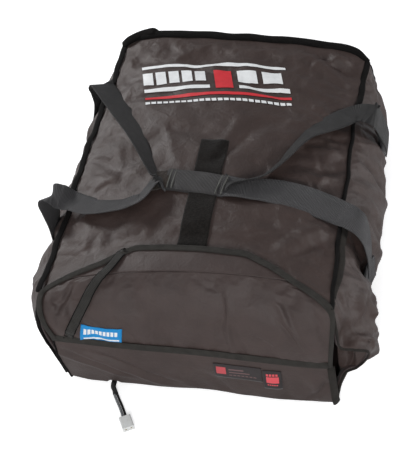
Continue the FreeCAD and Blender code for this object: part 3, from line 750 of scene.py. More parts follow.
# Gusset sections from the top seam to the bottom seam, as (share of the bulge, share of the seam's height)
ARC_SHARES = (
    (0.00, 0.995), (0.32, 0.93), (0.62, 0.82), (0.88, 0.66), (1.00, 0.48),
    (0.93, 0.30), (0.70, 0.16), (0.36, 0.07), (-0.05, 0.03),
)
BULGES = {
    1: ((-0.320, 0.066), (-0.270, 0.058), (-0.200, 0.050), (-0.140, 0.034), (-0.060, 0.048), (0.080, 0.047),
        (0.190, 0.034), (0.260, 0.031), (0.326, 0.014)),
    -1: ((-0.320, 0.020), (-0.290, 0.034), (-0.255, 0.047), (-0.190, 0.052), (-0.080, 0.043), (0.020, 0.040),
         (0.110, 0.040), (0.200, 0.042), (0.270, 0.036), (0.326, 0.018)),
}
# The gussets' front edges, from the top seam round the mouth to the bottom seam
MOUTH_LINES = {
    1: (
        (0.2460, -0.3000, 0.2240), (0.2530, -0.3190, 0.1900), (0.2570, -0.3220, 0.1540),
        (0.2800, -0.3200, 0.1470),
        (0.3030, -0.3140, 0.1360), (0.3020, -0.3100, 0.1140), (0.2920, -0.3080, 0.0920),
        (0.2800, -0.3080, 0.0760),
        (0.2620, -0.3120, 0.0660), (0.2515, -0.3240, 0.0400), (0.2480, -0.3260, 0.0080),
    ),
    -1: (
        (-0.2560, -0.2990, 0.1980), (-0.2610, -0.3080, 0.1800), (-0.2620, -0.3150, 0.1580),
        (-0.2580, -0.3190, 0.1300),
        (-0.2520, -0.3200, 0.1020), (-0.2470, -0.3190, 0.0740), (-0.2430, -0.3160, 0.0440),
        (-0.2400, -0.3120, 0.0080),
    ),
}
GUSSET_FOLDS = {
    1: (
        (-0.300, 0.150, -0.225, 0.185, 0.009, 0.0050),
        (-0.300, 0.120, -0.215, 0.160, 0.008, -0.0055),
        (-0.295, 0.175, -0.250, 0.120, 0.008, 0.0045),
        (-0.270, 0.190, -0.230, 0.110, 0.009, -0.0045),
        (-0.240, 0.110, -0.200, 0.190, 0.009, 0.0050),
        (-0.190, 0.200, -0.150, 0.120, 0.010, -0.0040),
        (-0.110, 0.190, -0.060, 0.080, 0.011, 0.0045),
        (-0.060, 0.200, -0.020, 0.100, 0.010, -0.0045),
        (0.000, 0.190, 0.060, 0.090, 0.012, 0.0045),
        (0.070, 0.200, 0.060, 0.110, 0.010, -0.0045),
        (0.110, 0.190, 0.160, 0.090, 0.012, 0.0045),
        (0.210, 0.190, 0.180, 0.090, 0.011, -0.0040),
        (0.300, 0.170, 0.240, 0.080, 0.012, 0.0045),
        (-0.280, 0.060, -0.120, 0.030, 0.010, 0.0040),
        (-0.050, 0.060, 0.150, 0.040, 0.012, -0.0035),
    ),
    -1: (
        (-0.250, 0.170, -0.180, 0.120, 0.010, 0.0035),
        (-0.140, 0.190, -0.120, 0.070, 0.011, -0.0035),
        (-0.050, 0.190, 0.000, 0.080, 0.012, 0.0040),
        (0.060, 0.190, 0.090, 0.090, 0.011, -0.0040),
        (0.150, 0.190, 0.170, 0.090, 0.012, 0.0040),
        (0.260, 0.180, 0.230, 0.080, 0.011, -0.0035),
        (-0.100, 0.050, 0.120, 0.040, 0.012, 0.0035),
    ),
}
MOUTH_Y = -0.300
GUSSET_BACK_Y = 0.326


def gusset_point(side, y, share):
    """A gusset's outer face: share 0 is the top seam and 1 the bottom seam."""
    bulge = lerp_table(BULGES[side], y)
    arc = spline([(a, b, 0) for a, b in ARC_SHARES], share)
    reach = seam_reach(side, y)
    z = arc.y * top_height(side * reach, y)
    root = mix(BASE_HALF, reach, min(1.0, z / SEAM_HEIGHT))
    inner = math.sin(min(1.0, max(0.0, share)) * math.pi)
    crease = 1.7 * folds(GUSSET_FOLDS[side], y, z) * inner ** 0.5
    soft = (0.0035 * rough((y, z, side), 0.06, 5.0) + 0.0018 * rough((y, z, side), 0.024, 9.0)) * inner
    front = ramp(0.10, 0.20, -y) if side > 0 else 0.0
    soft += (0.0036 + 0.0050 * front) * creases((y + 0.5 * z, 0.45 * z, side), 0.045, 41.0) * inner ** 0.5
    soft += (0.0018 + 0.0030 * front) * creases((y - 0.4 * z, z, side), 0.028, 52.0) * inner ** 0.5
    pucker = 0.0012 * math.sin(y * 170 + side) * (1 - ramp(0.0, 0.12, share))
    x = root + bulge * arc.x + crease + soft + pucker
    return Vector((side * x, y, z))


def mouth_edge(side, share):
    return spline(MOUTH_LINES[side], share)


def make_side(side):
    name = "right" if side > 0 else "left"

    def place(u, v):
        wall = gusset_point(side, mix(MOUTH_Y, GUSSET_BACK_Y, u), v)
        near = 1 - ramp(0.0, 0.13 if side > 0 else 0.09, u)
        if near == 0:
            return wall
        edge = mouth_edge(side, v) + Vector((0, 0.62 * u, 0))
        crumpled = 0.0040 * rough((wall.y, wall.z, side), 0.022, 11.0) * near * ramp(0.0, 0.03, u)
        roll = 0.0
        if side > 0:
            crease = creases((wall.y, 0.6 * wall.z, 0), 0.035, 63.0) - 0.3
            crumpled += 0.0090 * crease * near * ramp(0.0, 0.04, u)
            roll = 0.060 * near * (1 - near) * math.exp(-((v - 0.64) / 0.11) ** 2)
        return wall.lerp(edge, near) + Vector((side * crumpled + roll, 0, crumpled - 0.4 * roll))

    piece = grid(name + "_side_wall", 120, 46, place)
    outward(piece, Vector((0, 0, 0.1)))
    crumple(piece, 120, (1, 2, 2, 2), 0.035, 1.0, frames=16, cap=0.008, bending=0.25)
    for vertex in piece.data.vertices:
        vertex.co.z = max(vertex.co.z, 0.004)
    thicken(piece, WALL * 0.6, 1, 1)
    subdivide(piece)
    nodes = [f"{name}_gusset_{layer}" for layer in ("cover", "pad", "liner")]
    finish_piece(piece, "bag", ("cover_cloth", "liner_film"), nodes)
    return piece


def rear_point(u, v, depth=0.0):
    """The rear wall: u across from left to right, v from the floor to the top seam."""
    span = 2 * u - 1
    bow = 1 - span * span
    lift = math.sin(v * math.pi)
    top = top_height(span * seam_reach(1 if span > 0 else -1, HALF_LENGTH), HALF_LENGTH) - 0.003
    z = mix(0.006, top, v)
    side_bulge = 0.016 * math.sin(v * math.pi) * abs(span) ** 3
    x = span * (mix(BASE_HALF, seam_reach(1 if span > 0 else -1, HALF_LENGTH), v) + side_bulge)
    y = HALF_LENGTH + REAR_BULGE * lift * (0.35 + 0.65 * bow) - depth
    y += (0.004 * rough((x, 0, z), 0.07, 2.0) + 0.0016 * rough((x, 0, z), 0.03, 4.0)) * lift
    y += 0.003 * math.sin(x * 75 + 9 * z) * lift * (1 - bow) + 0.0015 * math.sin(x * 160) * ramp(0.8, 1.0, v)
    return Vector((x, y, z))


# The pleat of the right gusset inside its mouth: (x, height of its lower edge, height of its upper edge)
PLEAT = (
    (0.249, 0.020, 0.156), (0.262, 0.060, 0.152), (0.280, 0.072, 0.148), (0.292, 0.088, 0.143),
    (0.304, 0.112, 0.134),
)


def make_mouth_pleat():
    """The right gusset's spare cloth, folded in behind the edge of its mouth."""
    def place(u, v):
        reach = mix(0.249, 0.304, u)
        low = straight_table([(x, a) for x, a, _ in PLEAT], reach)
        high = straight_table([(x, b) for x, _, b in PLEAT], reach)
        z = mix(low, high, v)
        y = -0.3075 + 0.010 * math.sin(math.pi * v) + 0.012 * ramp(0.55, 1.0, v)
        y += 0.014 * (creases((reach, 0.5 * z, 0), 0.030, 71.0) - 0.4) * math.sin(math.pi * v)
        return Vector((reach + 0.05 * (v - 0.5) * (reach - 0.28), y, z))

    piece = grid("right_mouth_pleat", 26, 30, place)
    outward(piece, Vector((0.27, 0, 0.1)))
    thicken(piece, 0.003)
    subdivide(piece)
    finish_piece(piece, "bag", ("cover_cloth",))


def make_rear():
    piece = grid("rear_wall", 84, 40, rear_point)
    outward(piece, Vector((0, 0, 0.1)))
    crumple(piece, 84, (3, 3, 2, 2), 0.025, 0.8, frames=14, cap=0.007)
    thicken(piece, WALL, 1, 1)
    subdivide(piece)
    finish_piece(
        piece, "bag", ("cover_cloth", "liner_film"), ("rear_cover", "rear_pad", "rear_liner")
    )
    return piece


def make_base():
    """The base: flat below, softly quilted lining above."""
    rows, columns = 66, 48

    def face(top):
        def place(u, v):
            x = (2 * u - 1) * (BASE_HALF - 0.002)
            y = mix(-0.301, HALF_LENGTH - 0.002, v)
            edge = min(1 - abs(2 * u - 1), 1 - abs(2 * v - 1))
            if not top:
                return Vector((x, y, 0.0006 + 0.003 * (1 - ramp(0.0, 0.03, edge))))
            swell = 0.0018 * abs(math.sin(x * 42)) * abs(math.sin(y * 34)) * ramp(0.0, 0.1, edge)
            return Vector((x, y, BASE_THICK - 0.003 * (1 - ramp(0.0, 0.05, edge)) + swell))
        return place

    low = grid("base_wall", columns, rows, face(False))
    high = grid("base_wall_top", columns, rows, face(True))
    work = bmesh.new()
    work.from_mesh(low.data)
    for f in work.faces:
        f.material_index = 0
    count = len(work.verts)
    work.from_mesh(high.data)
    work.verts.ensure_lookup_table()
    for f in work.faces:
        if f.verts[0].index >= count or f.calc_center_median().z > BASE_THICK / 2:
            f.material_index = 1
    bmesh.ops.bridge_loops(work, edges=[e for e in work.edges if e.is_boundary])
    bmesh.ops.recalc_face_normals(work, faces=work.faces)
    work.to_mesh(low.data)
    work.free()
    bpy.data.objects.remove(high)
    finish_piece(
        low, "bag", ("cover_cloth", "liner_film"), ("base_cover", "base_pad", "base_liner")
    )
    return low


# Front flap: wall, lid and tongue
WALL_FOLDS = (
    (-0.215, 0.118, -0.040, 0.020, 0.0075, 0.0042),
    (-0.190, 0.112, -0.010, 0.030, 0.0060, -0.0036),
    (-0.235, 0.100, -0.110, 0.040, 0.0070, 0.0036),
    (-0.120, 0.080, 0.030, 0.010, 0.0080, 0.0028),
    (0.150, 0.080, 0.170, 0.010, 0.0100, -0.0028),
    (0.200, 0.085, 0.225, 0.010, 0.0090, 0.0036),
    (0.235, 0.070, 0.205, 0.020, 0.0060, -0.0040),
    (0.020, 0.070, 0.070, 0.008, 0.0100, -0.0022),
)
LID_FOLDS = (
    (0.078, 0.10, 0.072, 0.62, 0.0060, 0.0036),
    (0.090, 0.14, 0.062, 0.60, 0.0070, -0.0026),
    (0.152, 0.62, 0.178, 0.38, 0.0055, 0.0032),
    (0.160, 0.42, 0.196, 0.18, 0.0055, -0.0034),
    (0.170, 0.40, 0.206, 0.14, 0.0050, 0.0034),
    (-0.222, 0.78, -0.205, 0.30, 0.0075, 0.0034),
    (-0.196, 0.80, -0.226, 0.34, 0.0065, -0.0032),
    (-0.238, 0.60, -0.212, 0.22, 0.0065, 0.0026),
    (-0.030, 0.30, 0.020, 0.20, 0.0140, 0.0020),
    (0.110, 0.26, 0.150, 0.16, 0.0100, -0.0022),
    (0.215, 0.55, 0.235, 0.25, 0.0080, -0.0022),
)


def fold_height(x):
    return FOLD_MIDDLE - FOLD_TILT * x / FLAP_HALF + 0.0015 * math.sin(x * 23 + 1)


def front_bottom_y(x):
    """The bottom front edge bows in on the left and out on the right."""
    return lerp_table(
        ((-0.243, -0.318), (-0.188, -0.325), (-0.157, -0.326), (-0.120, -0.326), (-0.058, -0.328),
         (0.015, -0.326),
         (0.090, -0.333), (0.150, -0.336), (0.243, -0.334)), x
    )


def wall_reach(side, share):
    """Half the front wall's width, from the floor up to the fold line."""
    return mix(0.2475, 0.2420, share) if side > 0 else mix(0.2335, 0.2370, share)


def wall_point(x, share, lift=0.0):
    """The front wall's outer face: share 0 is the floor and 1 the fold line."""
    z = mix(0.004, fold_height(x), share)
    belly = math.sin(share * math.pi)
    y = mix(front_bottom_y(x), FLAP_FACE_Y, ramp(0.0, 0.8, share)) - 0.005 * belly
    tuck = 0.003 * (1 - ramp(0.0, 0.06, share))
    crease = folds(WALL_FOLDS, x, z) * min(1.0, 2.2 * belly)
    soft = 0.0022 * rough((x, 0, z), 0.05, 1.0) * belly
    return Vector((x, y + tuck - 1.5 * crease - soft - lift, z))


def lid_shape(x, share):
    """The lid's smooth face from the fold line, share 0, over the shoulder to the crease line, share 1."""
    side = min(1.0, abs(x) / FLAP_HALF) ** 2
    fold = Vector((x, FLAP_FACE_Y, fold_height(x)))
    high, far = (0.237, -0.330) if x > 0 else (0.214, -0.322)
    shoulder = Vector((x, mix(-0.300, far, side), mix(0.206, high, side) + twist(x, -0.31)))
    crease = Vector((x, CREASE_Y, top_height(x, CREASE_Y) + 0.0055))
    first = fold.lerp(shoulder, share)
    second = shoulder.lerp(crease, share)
    return first.lerp(second, share)


# The lid's side edges, from the fold line up over the shoulder to the crease, as (share, reach)
LID_REACH = {
    -1: (
        (0.0, 0.2370), (0.25, 0.2500), (0.50, 0.2580),
        (0.70, 0.2605), (0.84, 0.2580), (0.93, 0.2430), (1.0, 0.2213),
    ),
    1: (
        (0.0, 0.2420), (0.25, 0.2470), (0.50, 0.2500),
        (0.64, 0.2490), (0.72, 0.2400), (0.85, 0.2160), (1.0, 0.1826),
    ),
}
# The tongue's slanted edges, from the crease to its end
TONGUE_REACH = {
    -1: ((0.0, 0.2213), (0.2, 0.1880), (0.4, 0.1570), (0.65, 0.1310), (0.93, 0.1010), (1.0, 0.0900)),
    1: ((0.0, 0.1826), (0.2, 0.1670), (0.4, 0.1510), (0.65, 0.1280), (0.93, 0.1010), (1.0, 0.0900)),
}


def straight_table(table, value):
    """Linear reading of a table of (place, value) pairs."""
    if value <= table[0][0]:
        return table[0][1]
    for (a, va), (b, vb) in zip(table, table[1:]):
        if value <= b:
            return mix(va, vb, (value - a) / (b - a))
    return table[-1][1]


def lid_edge_x(side, share):
    """The lid's side edge, with its corners rounded a little."""
    near = [straight_table(LID_REACH[side], share + d) for d in (-0.04, -0.02, 0.0, 0.02, 0.04)]
    if share > 0.96:
        near = [near[2]]
    return side * sum(near) / len(near)


def tongue_edge_x(side, share):
    return side * straight_table(TONGUE_REACH[side], share)


def lid_point(x, share, lift=0.0):
    base = lid_shape(x, share)
    step = 0.01
    along = lid_shape(x, min(1, share + step)) - lid_shape(x, max(0, share - step))
    across = lid_shape(x + 0.002, share) - lid_shape(x - 0.002, share)
    normal = across.cross(along).normalized()
    inner = math.sin(min(1.0, max(0.0, share)) * math.pi) ** 0.4 if 0 < share < 1 else 0.0
    puff = 0.006 * math.sin(math.pi * min(1, share)) ** 0.7
    edge = min(x - lid_edge_x(-1, share), lid_edge_x(1, share) - x)
    puff += 0.004 * (1 - ramp(0.0, 0.03, edge)) * -1.0 * inner
    soft = 0.0022 * rough(base, 0.055, 6.0) * inner
    return base + normal * (puff + 1.5 * folds(LID_FOLDS, x, share * 0.9) * inner + soft + lift)


def tongue_point(x, share, lift=0.0):
    """The tongue's outer face: its end runs a little further back on the left."""
    end = -0.2105 - 0.042 * max(-0.1, min(0.1, x))
    y = mix(CREASE_Y, end, share)
    soft = 0.0010 * rough((x, y, 0), 0.04, 8.0)
    return Vector((x, y, top_height(x, y) + 0.0055 + soft + 0.0012 * math.sin(share * math.pi) + lift))


def blend_fold(piece):
    """Bakes the piece's transform into its mesh."""
    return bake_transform(piece)


def blend_tongue(piece):
    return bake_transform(piece)


def make_front_wall():
    def place(u, v):
        return wall_point(mix(-wall_reach(-1, v), wall_reach(1, v), u), v)

    piece = grid("front_wall", 110, 34, place)
    outward(piece, Vector((0, 0, 0.06)))
    thicken(piece, WALL, 1, 1)
    subdivide(piece)
    baked(piece)
    notch_wall(piece)
    finish_piece(
        piece, None, ("flap_cloth", "liner_film"),
        ("front_wall_cover", "front_wall_pad", "front_wall_liner"),
    )
    return blend_fold(piece)


LEAD_EXIT_X = -0.152


def notch_wall(piece):
    """Lifts the wall's hem over the lead."""
    for vertex in piece.data.vertices:
        near = 1 - ramp(0.005, 0.014, abs(vertex.co.x - LEAD_EXIT_X))
        low = 1 - ramp(0.004, 0.024, vertex.co.z)
        vertex.co.z += 0.0065 * near * low


def make_lid():
    def place(u, v):
        return lid_point(mix(lid_edge_x(-1, v), lid_edge_x(1, v), u), v)

    piece = grid("lid_wall", 110, 60, place)
    outward(piece, Vector((0, -0.2, 0.1)))
    crumple(piece, 110, (3, 3, 2, 2), 0.018, 1.2, frames=14, cap=0.005, bending=0.6)
    thicken(piece, WALL, 1, 1)
    subdivide(piece)
    baked(piece)
    finish_piece(
        piece, None, ("flap_cloth", "liner_film"), ("lid_cover", "lid_pad", "lid_liner")
    )
    return blend_fold(piece)


def make_tongue():
    def place(u, v):
        return tongue_point(mix(tongue_edge_x(-1, v), tongue_edge_x(1, v), u), v)

    piece = grid("tongue_flap", 90, 18, place)
    outward(piece, Vector((0, -0.2, 0.1)))
    thicken(piece, 0.0022)
    baked(piece)
    finish_piece(piece, None, ("flap_cloth",), ("tongue_cover",))
    return blend_tongue(piece)


def make_hook_strip():
    """The hook strip under the tongue, thin enough to lie on the loop strip."""
    piece = grid(
        "hook_fastener", 20, 16, lambda u, v: tongue_point(mix(-0.024, 0.024, u), mix(0.12, 0.85, v), -0.0023)
    )
    outward(piece, Vector((0, -0.2, 0.1)))
    thicken(piece, 0.0006)
    baked(piece)
    finish_piece(piece, None, ("hook_face",), ("hook_strip",))
    return blend_tongue(piece)


# Bindings
def tube_section(width, thick, steps=10):
    return [
        (width / 2 * math.cos(2 * math.pi * k / steps), thick / 2 * math.sin(2 * math.pi * k / steps))
        for k in range(steps)
    ]


def make_tape_piece(name, path, ups, section, body, colour, replaced=(), blender=None, widths=None):
    piece = sweep(name, path, ups, section, widths)
    subdivide(piece)
    baked(piece)
    finish_piece(piece, None if blender else body, (colour,), replaced)
    return blender(piece) if blender else piece


def side_seam_path(side, first, last, out, rise, lean, count=120):
    """A path along a side seam: out and rise shift it off the seam, and lean turns its face outward."""
    path, ups = [], []
    for k in range(count + 1):
        y = mix(first, last, k / count)
        wobble = 0.0008 * math.sin(y * 58 + 2 * side) + 0.0005 * math.sin(y * 131 + side)
        reach = seam_reach(side, y)
        path.append(Vector((side * (reach + out + wobble), y, top_height(side * reach, y) + rise + wobble)))
        ups.append(Vector((side * lean, 0, 1)))
    return path, ups


def rounded_profile(width, thick, lean=0.0):
    """A folded tape seen end on: a flat loop, fuller at its open side."""
    section = []
    for k in range(14):
        a = 2 * math.pi * k / 14
        bulge = 1 + 0.25 * math.cos(a)
        section.append((width / 2 * math.cos(a), thick / 2 * math.sin(a) * bulge + lean * math.cos(a)))
    return section


def make_seam_tapes():
    """The bindings of the top seams: wide on the left, a paler outer band on the right, bulky at the rear."""
    last = HALF_LENGTH - 0.010
    left, left_ups = side_seam_path(-1, -0.280, last, 0.0030, 0.0005, 0.35)
    right, right_ups = side_seam_path(1, -0.304, last, 0.0000, 0.0012, 0.20)
    band, band_ups = side_seam_path(1, -0.300, -0.060, 0.0085, -0.0025, 0.55, 60)
    for point in band:
        point.x -= 0.0075 * (1 - ramp(-0.300, -0.200, point.y))
    rear, rear_ups = [], []
    for k in range(121):
        span = mix(-1, 1, k / 120)
        side = 1 if span > 0 else -1
        x = span * (seam_reach(side, HALF_LENGTH) + 0.002)
        corner = ramp(0.90, 1.0, abs(span))
        y = HALF_LENGTH + 0.0015 - 0.011 * corner + 0.0010 * math.sin(x * 71)
        z = top_height(x, HALF_LENGTH) + 0.0025 - 0.004 * corner + 0.0006 * math.sin(x * 97)
        rear.append(Vector((x, y, z)))
        rear_ups.append(Vector((0, -0.35, 1)))
    for name, path, ups, width, thick, colour, nodes in (
        ("left_seam_tape", left, left_ups, 0.0130, 0.0055, "black_binding", ("top_seam_binding",)),
        ("right_seam_tape", right, right_ups, 0.0075, 0.0050, "black_binding", ()),
        ("right_seam_band", band, band_ups, 0.0115, 0.0030, "pale_binding", ()),
        ("rear_seam_tape", rear, rear_ups, 0.0160, 0.0095, "black_binding", ()),
    ):
        widths = None
        if name == "right_seam_tape":
            widths = [1.0 + 0.6 * ramp(0.16, 0.22, p.y) for p in path]
        if name == "right_seam_band":
            widths = [0.55 + 0.45 * ramp(-0.300, -0.220, p.y) for p in path]
        make_tape_piece(name, path, ups, rounded_profile(width, thick), "bag", colour, nodes, None, widths)
    tuck, tuck_ups = [], []
    for k in range(31):
        t = k / 30
        x = mix(-0.236, -0.165, t)
        y = mix(0.3185, 0.3370, ramp(0.0, 0.6, t))
        drop = 0.007 * ramp(0.85, 1.0, t) + 0.004 * (1 - ramp(0.0, 0.2, t))
        height = top_height(x, HALF_LENGTH) + 0.0085 + 0.0012 * math.sin(t * 9) - drop
        tuck.append(Vector((x, y - 0.001, height)))
        tuck_ups.append(Vector((-0.1, -0.3, 1)))
    make_tape_piece("rear_left_tuck", tuck, tuck_ups, rounded_profile(0.0150, 0.0060), "bag", "black_binding")


def make_base_tapes():
    profile = rounded_profile(0.010, 0.005)
    for side, name, nodes in ((-1, "left_base_tape", ("base_seam_binding",)), (1, "right_base_tape", ())):
        path = []
        for k in range(81):
            y = mix(-0.290, HALF_LENGTH - 0.004, k / 80)
            path.append(Vector((side * (BASE_HALF + 0.002 + 0.001 * math.sin(y * 60)), y, 0.0052)))
        make_tape_piece(name, path, [Vector((side, 0, 0.4))] * 81, profile, "bag", "black_binding", nodes)
    path = [Vector((mix(-BASE_HALF, BASE_HALF, k / 80), HALF_LENGTH + 0.002, 0.0052)) for k in range(81)]
    make_tape_piece("rear_base_tape", path, [Vector((0, 1, 0.4))] * 81, profile, "bag", "black_binding")


def make_corner_tapes():
    profile = rounded_profile(0.010, 0.0045)
    for side, name, nodes in ((-1, "left_rear_tape", ("rear_corner_bindings",)), (1, "right_rear_tape", ())):
        path, ups = [], []
        for k in range(41):
            v = k / 40
            point = gusset_point(side, GUSSET_BACK_Y, 1 - v)
            path.append(Vector((point.x - side * 0.003, HALF_LENGTH + 0.001, min(point.z, 0.185))))
            ups.append(Vector((side * 0.7, 0.7, 0)))
        make_tape_piece(name, path, ups, profile, "bag", "black_binding", nodes)


def make_mouth_tapes():
    both_sides = ((-1, "left_mouth_tape", ("gusset_mouth_bindings",)), (1, "right_mouth_tape", ()))
    for side, name, nodes in both_sides:
        profile = rounded_profile(0.008, 0.004) if side < 0 else rounded_profile(0.0055, 0.0032)
        path, ups = [], []
        for k in range(81):
            point = mouth_edge(side, mix(0.01, 0.99, k / 80))
            centre = Vector((side * 0.26, point.y, 0.11))
            path.append(point + (centre - point).normalized() * 0.002)
            ups.append((point - centre).normalized())
        colour = "black_binding" if side < 0 else "pale_binding"
        make_tape_piece(name, path, ups, profile, "bag", colour, nodes)
    path = []
    for k in range(81):
        x = mix(-0.240, 0.232, k / 80)
        path.append(top_point(x, top_front_y(x), -0.004))
    make_tape_piece(
        "top_mouth_tape", path, [Vector((0, 0, 1))] * 81, rounded_profile(0.009, 0.010),
        "bag", "black_binding",
        ("top_mouth_binding",),
    )


def edge_normal(point_fn, x, share):
    step = 0.012
    a = point_fn(x, min(1, share + step)) - point_fn(x, max(0, share - step))
    b = point_fn(x + 0.003, share) - point_fn(x - 0.003, share)
    return b.cross(a).normalized()


def lid_tape_point(side, share):
    """The middle of the lid's edge tape and the way its face looks."""
    inset = 0.0045 if side < 0 else mix(0.0020, 0.0045, ramp(0.50, 0.70, share))
    x = lid_edge_x(side, share) - side * inset
    facing = edge_normal(lid_point, x, min(share, 0.97))
    return lid_point(x, share, 0.0012), facing + Vector((side * 0.30, 0, 0))


def tongue_tape_point(side, share):
    x = tongue_edge_x(side, share) - side * 0.0045
    return tongue_point(x, min(share, 0.93), 0.0012), Vector((side * 0.20, 0.05, 1))


def make_flap_tapes():
    """Grey binding round lid and tongue, tape over the fold, side bindings of the front wall."""
    section = tape_section(0.0130, 0.0034, 0.0004)
    runs = {}
    for side in (-1, 1):
        runs[side] = [lid_tape_point(side, k / 60) for k in range(61)]
    over = [tongue_tape_point(-1, k / 30) for k in range(1, 29)]
    start, end = over[-1][0].x, -over[-1][0].x
    for k in range(1, 50):
        x = mix(start, end, k / 50)
        reach = 0.93 + 0.025 * math.sin(math.pi * k / 50)
        over.append((tongue_point(x, reach, 0.0012), Vector((0, 0.05, 1))))
    over += [tongue_tape_point(1, k / 30) for k in range(28, 0, -1)]
    line = runs[-1] + over + runs[1][::-1]
    points = [p for p, _ in line]
    facings = [n.normalized() for _, n in line]
    for _ in range(3):
        ends = (points[0], points[-1])
        points = [points[max(k - 1, 0)].lerp(points[min(k + 1, len(points) - 1)], 0.5).lerp(points[k], 0.4)
                  for k in range(len(points))]
        points[0], points[-1] = ends
        facings = [(facings[max(k - 1, 0)] + facings[k] + facings[min(k + 1, len(facings) - 1)]).normalized()
                   for k in range(len(facings))]
    first, last = 60, len(points) - 61
    for name, low, high, body, nodes, blender in (
        ("lid_left_tape", 0, first + 1, "lid", ("lid_edge_bindings",), blend_fold),
        ("tongue_tape", first - 1, last + 2, "tongue", ("tongue_binding",), blend_tongue),
        ("lid_right_tape", last, len(points), "lid", (), blend_fold),
    ):
        widths = None
        if name == "lid_right_tape":
            widths = [mix(1.0, 0.62, ramp(0.30, 0.50, k / (high - low))) for k in range(high - low)]
        make_tape_piece(
            name, points[low:high], facings[low:high], section, body,
            "grey_binding", nodes, blender, widths,
        )
    path, ups = [], []
    for k in range(111):
        x = mix(-0.2385, 0.2385, k / 110)
        point = lid_point(x, 0.02, 0.0014)
        point.y = min(point.y, FLAP_FACE_Y - 0.0012)
        path.append(point)
        ups.append(Vector((0, -1, 0.12)))
    make_tape_piece(
        "fold_band", path, ups, tape_section(0.0150, 0.0013, 0.0005),
        "lid", "grey_binding", ("fold_tape",), blend_fold
    )
    both_sides = ((-1, "wall_left_tape", ("front_wall_edge_bindings",)), (1, "wall_right_tape", ()))
    for side, name, nodes in both_sides:
        path, ups = [], []
        for k in range(41):
            share = k / 40
            point = wall_point(side * (wall_reach(side, share) - 0.001), share)
            back = WALL * 0.45 if side < 0 else 0.001
            path.append(point + Vector((0, back, 0)))
            ups.append(Vector((side, 0 if side < 0 else -1.2, 0)))
        width, colour = (0.0135, "black_binding") if side < 0 else (0.0150, "pale_binding")
        piece = sweep(name, path, ups, rounded_profile(width, 0.0050))
        subdivide(piece)
        baked(piece)
        finish_piece(piece, None, (colour,), nodes)
        blend_fold(piece)


def make_hem():
    """The hinge strip between the base and the front wall."""
    def place(u, v):
        x = mix(-0.2310, 0.2410, u)
        inner = mix(-0.308, front_bottom_y(x) + 0.0100, v)
        return Vector((x, inner, mix(0.0030, 0.0060, v)))

    piece = grid("hinge_hem", 110, 10, place)
    outward(piece, Vector((0, 0, 0.05)))
    thicken(piece, 0.0016, offset=0.0)
    baked(piece)
    finish_piece(piece, None, ("cover_cloth",), ("flap_hinge_tape",))
    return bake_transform(piece)


def make_hinge_lining():
    """The lining that runs on from the base, over the hinge, into the foot of the front wall."""
    def place(u, v):
        x = mix(-0.2365, 0.2400, u)
        y = mix(-0.2880, front_bottom_y(x) + 0.0070, v)
        over_lead = 0.0055 * math.exp(-((x - LEAD_EXIT_X) / 0.008) ** 2)
        return Vector((x, y, 0.0115 - 0.0020 * math.sin(math.pi * v) + over_lead))

    piece = grid("hinge_lining", 110, 16, place)
    outward(piece, Vector((0, 0, -0.05)))
    thicken(piece, 0.0012, offset=0.0)
    baked(piece)
    finish_piece(piece, None, ("liner_film",))
    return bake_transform(piece)


# Hook-and-loop, labels and print
def strip_on(name, width, first_y, last_y, middle_x, tree, lift, thick, slot, body, replaced, lean=0.0):
    """A flat strip along Y that lies on the top panel."""
    down = Vector((0, 0, -1))

    def place(u, v):
        y = mix(first_y, last_y, u)
        x = middle_x + (v - 0.5) * width + lean * (u - 0.5)
        return dropped(tree, Vector((x, y, SEAM_HEIGHT + CROWN)), down, lift)

    piece = grid(name, 90, 14, place)
    outward(piece, Vector((0, 0, 0)))
    thicken(piece, thick, offset=1.0)
    return finish_piece(piece, body, (slot,), replaced)


def label_on_front(name, left, right, low, high, tree, material, body_blend, replaced, slope=0.0,
                   lean=0.0):
    """A label on the flap: left and right in x, low and high in z, dropped on the cloth from the front."""
    direction = Vector((0, 0.9, -0.25)).normalized()

    def place(u, v):
        x = mix(left, right, u) - lean * (1 - v)
        z = mix(low, high, v) + slope * (mix(left, right, u) - left)
        point = Vector((x, FLAP_FACE_Y - 0.01, z))
        return dropped(tree, point, Vector((0, 1, 0)) if slope else direction, 0.0008)

    piece = grid(name, 28, 14, place)
    uv = piece.data.uv_layers["UVMap"]
    for loop in piece.data.loops:
        index = loop.vertex_index
        uv.data[loop.index].uv = ((index % 29) / 28, (index // 29) / 14)
    outward(piece, Vector((0, 0, 0.1)))
    thicken(piece, 0.0006, offset=1.0)
    baked(piece)
    finish_piece(piece, None, (material,), replaced)
    return body_blend(piece)


def print_patch(name, outline, tree, material, lift=0.0011):
    """A flat printed shape on the top panel: outline is four corners, left to right and front to rear."""
    down = Vector((0, 0, -1))
    corners = [Vector((x, y, 0)) for x, y in outline]

    def place(u, v):
        near = corners[0].lerp(corners[1], u)
        far = corners[3].lerp(corners[2], u)
        point = near.lerp(far, v)
        return dropped(tree, Vector((point.x, point.y, SEAM_HEIGHT + CROWN)), down, lift)

    length = max(2, int((corners[1] - corners[0]).length / 0.006))
    height = max(2, int((corners[3] - corners[0]).length / 0.006))
    piece = grid(name, length, height, place)
    outward(piece, Vector((0, 0, 0)))
    finish_piece(piece, "bag", (material,))
    return piece


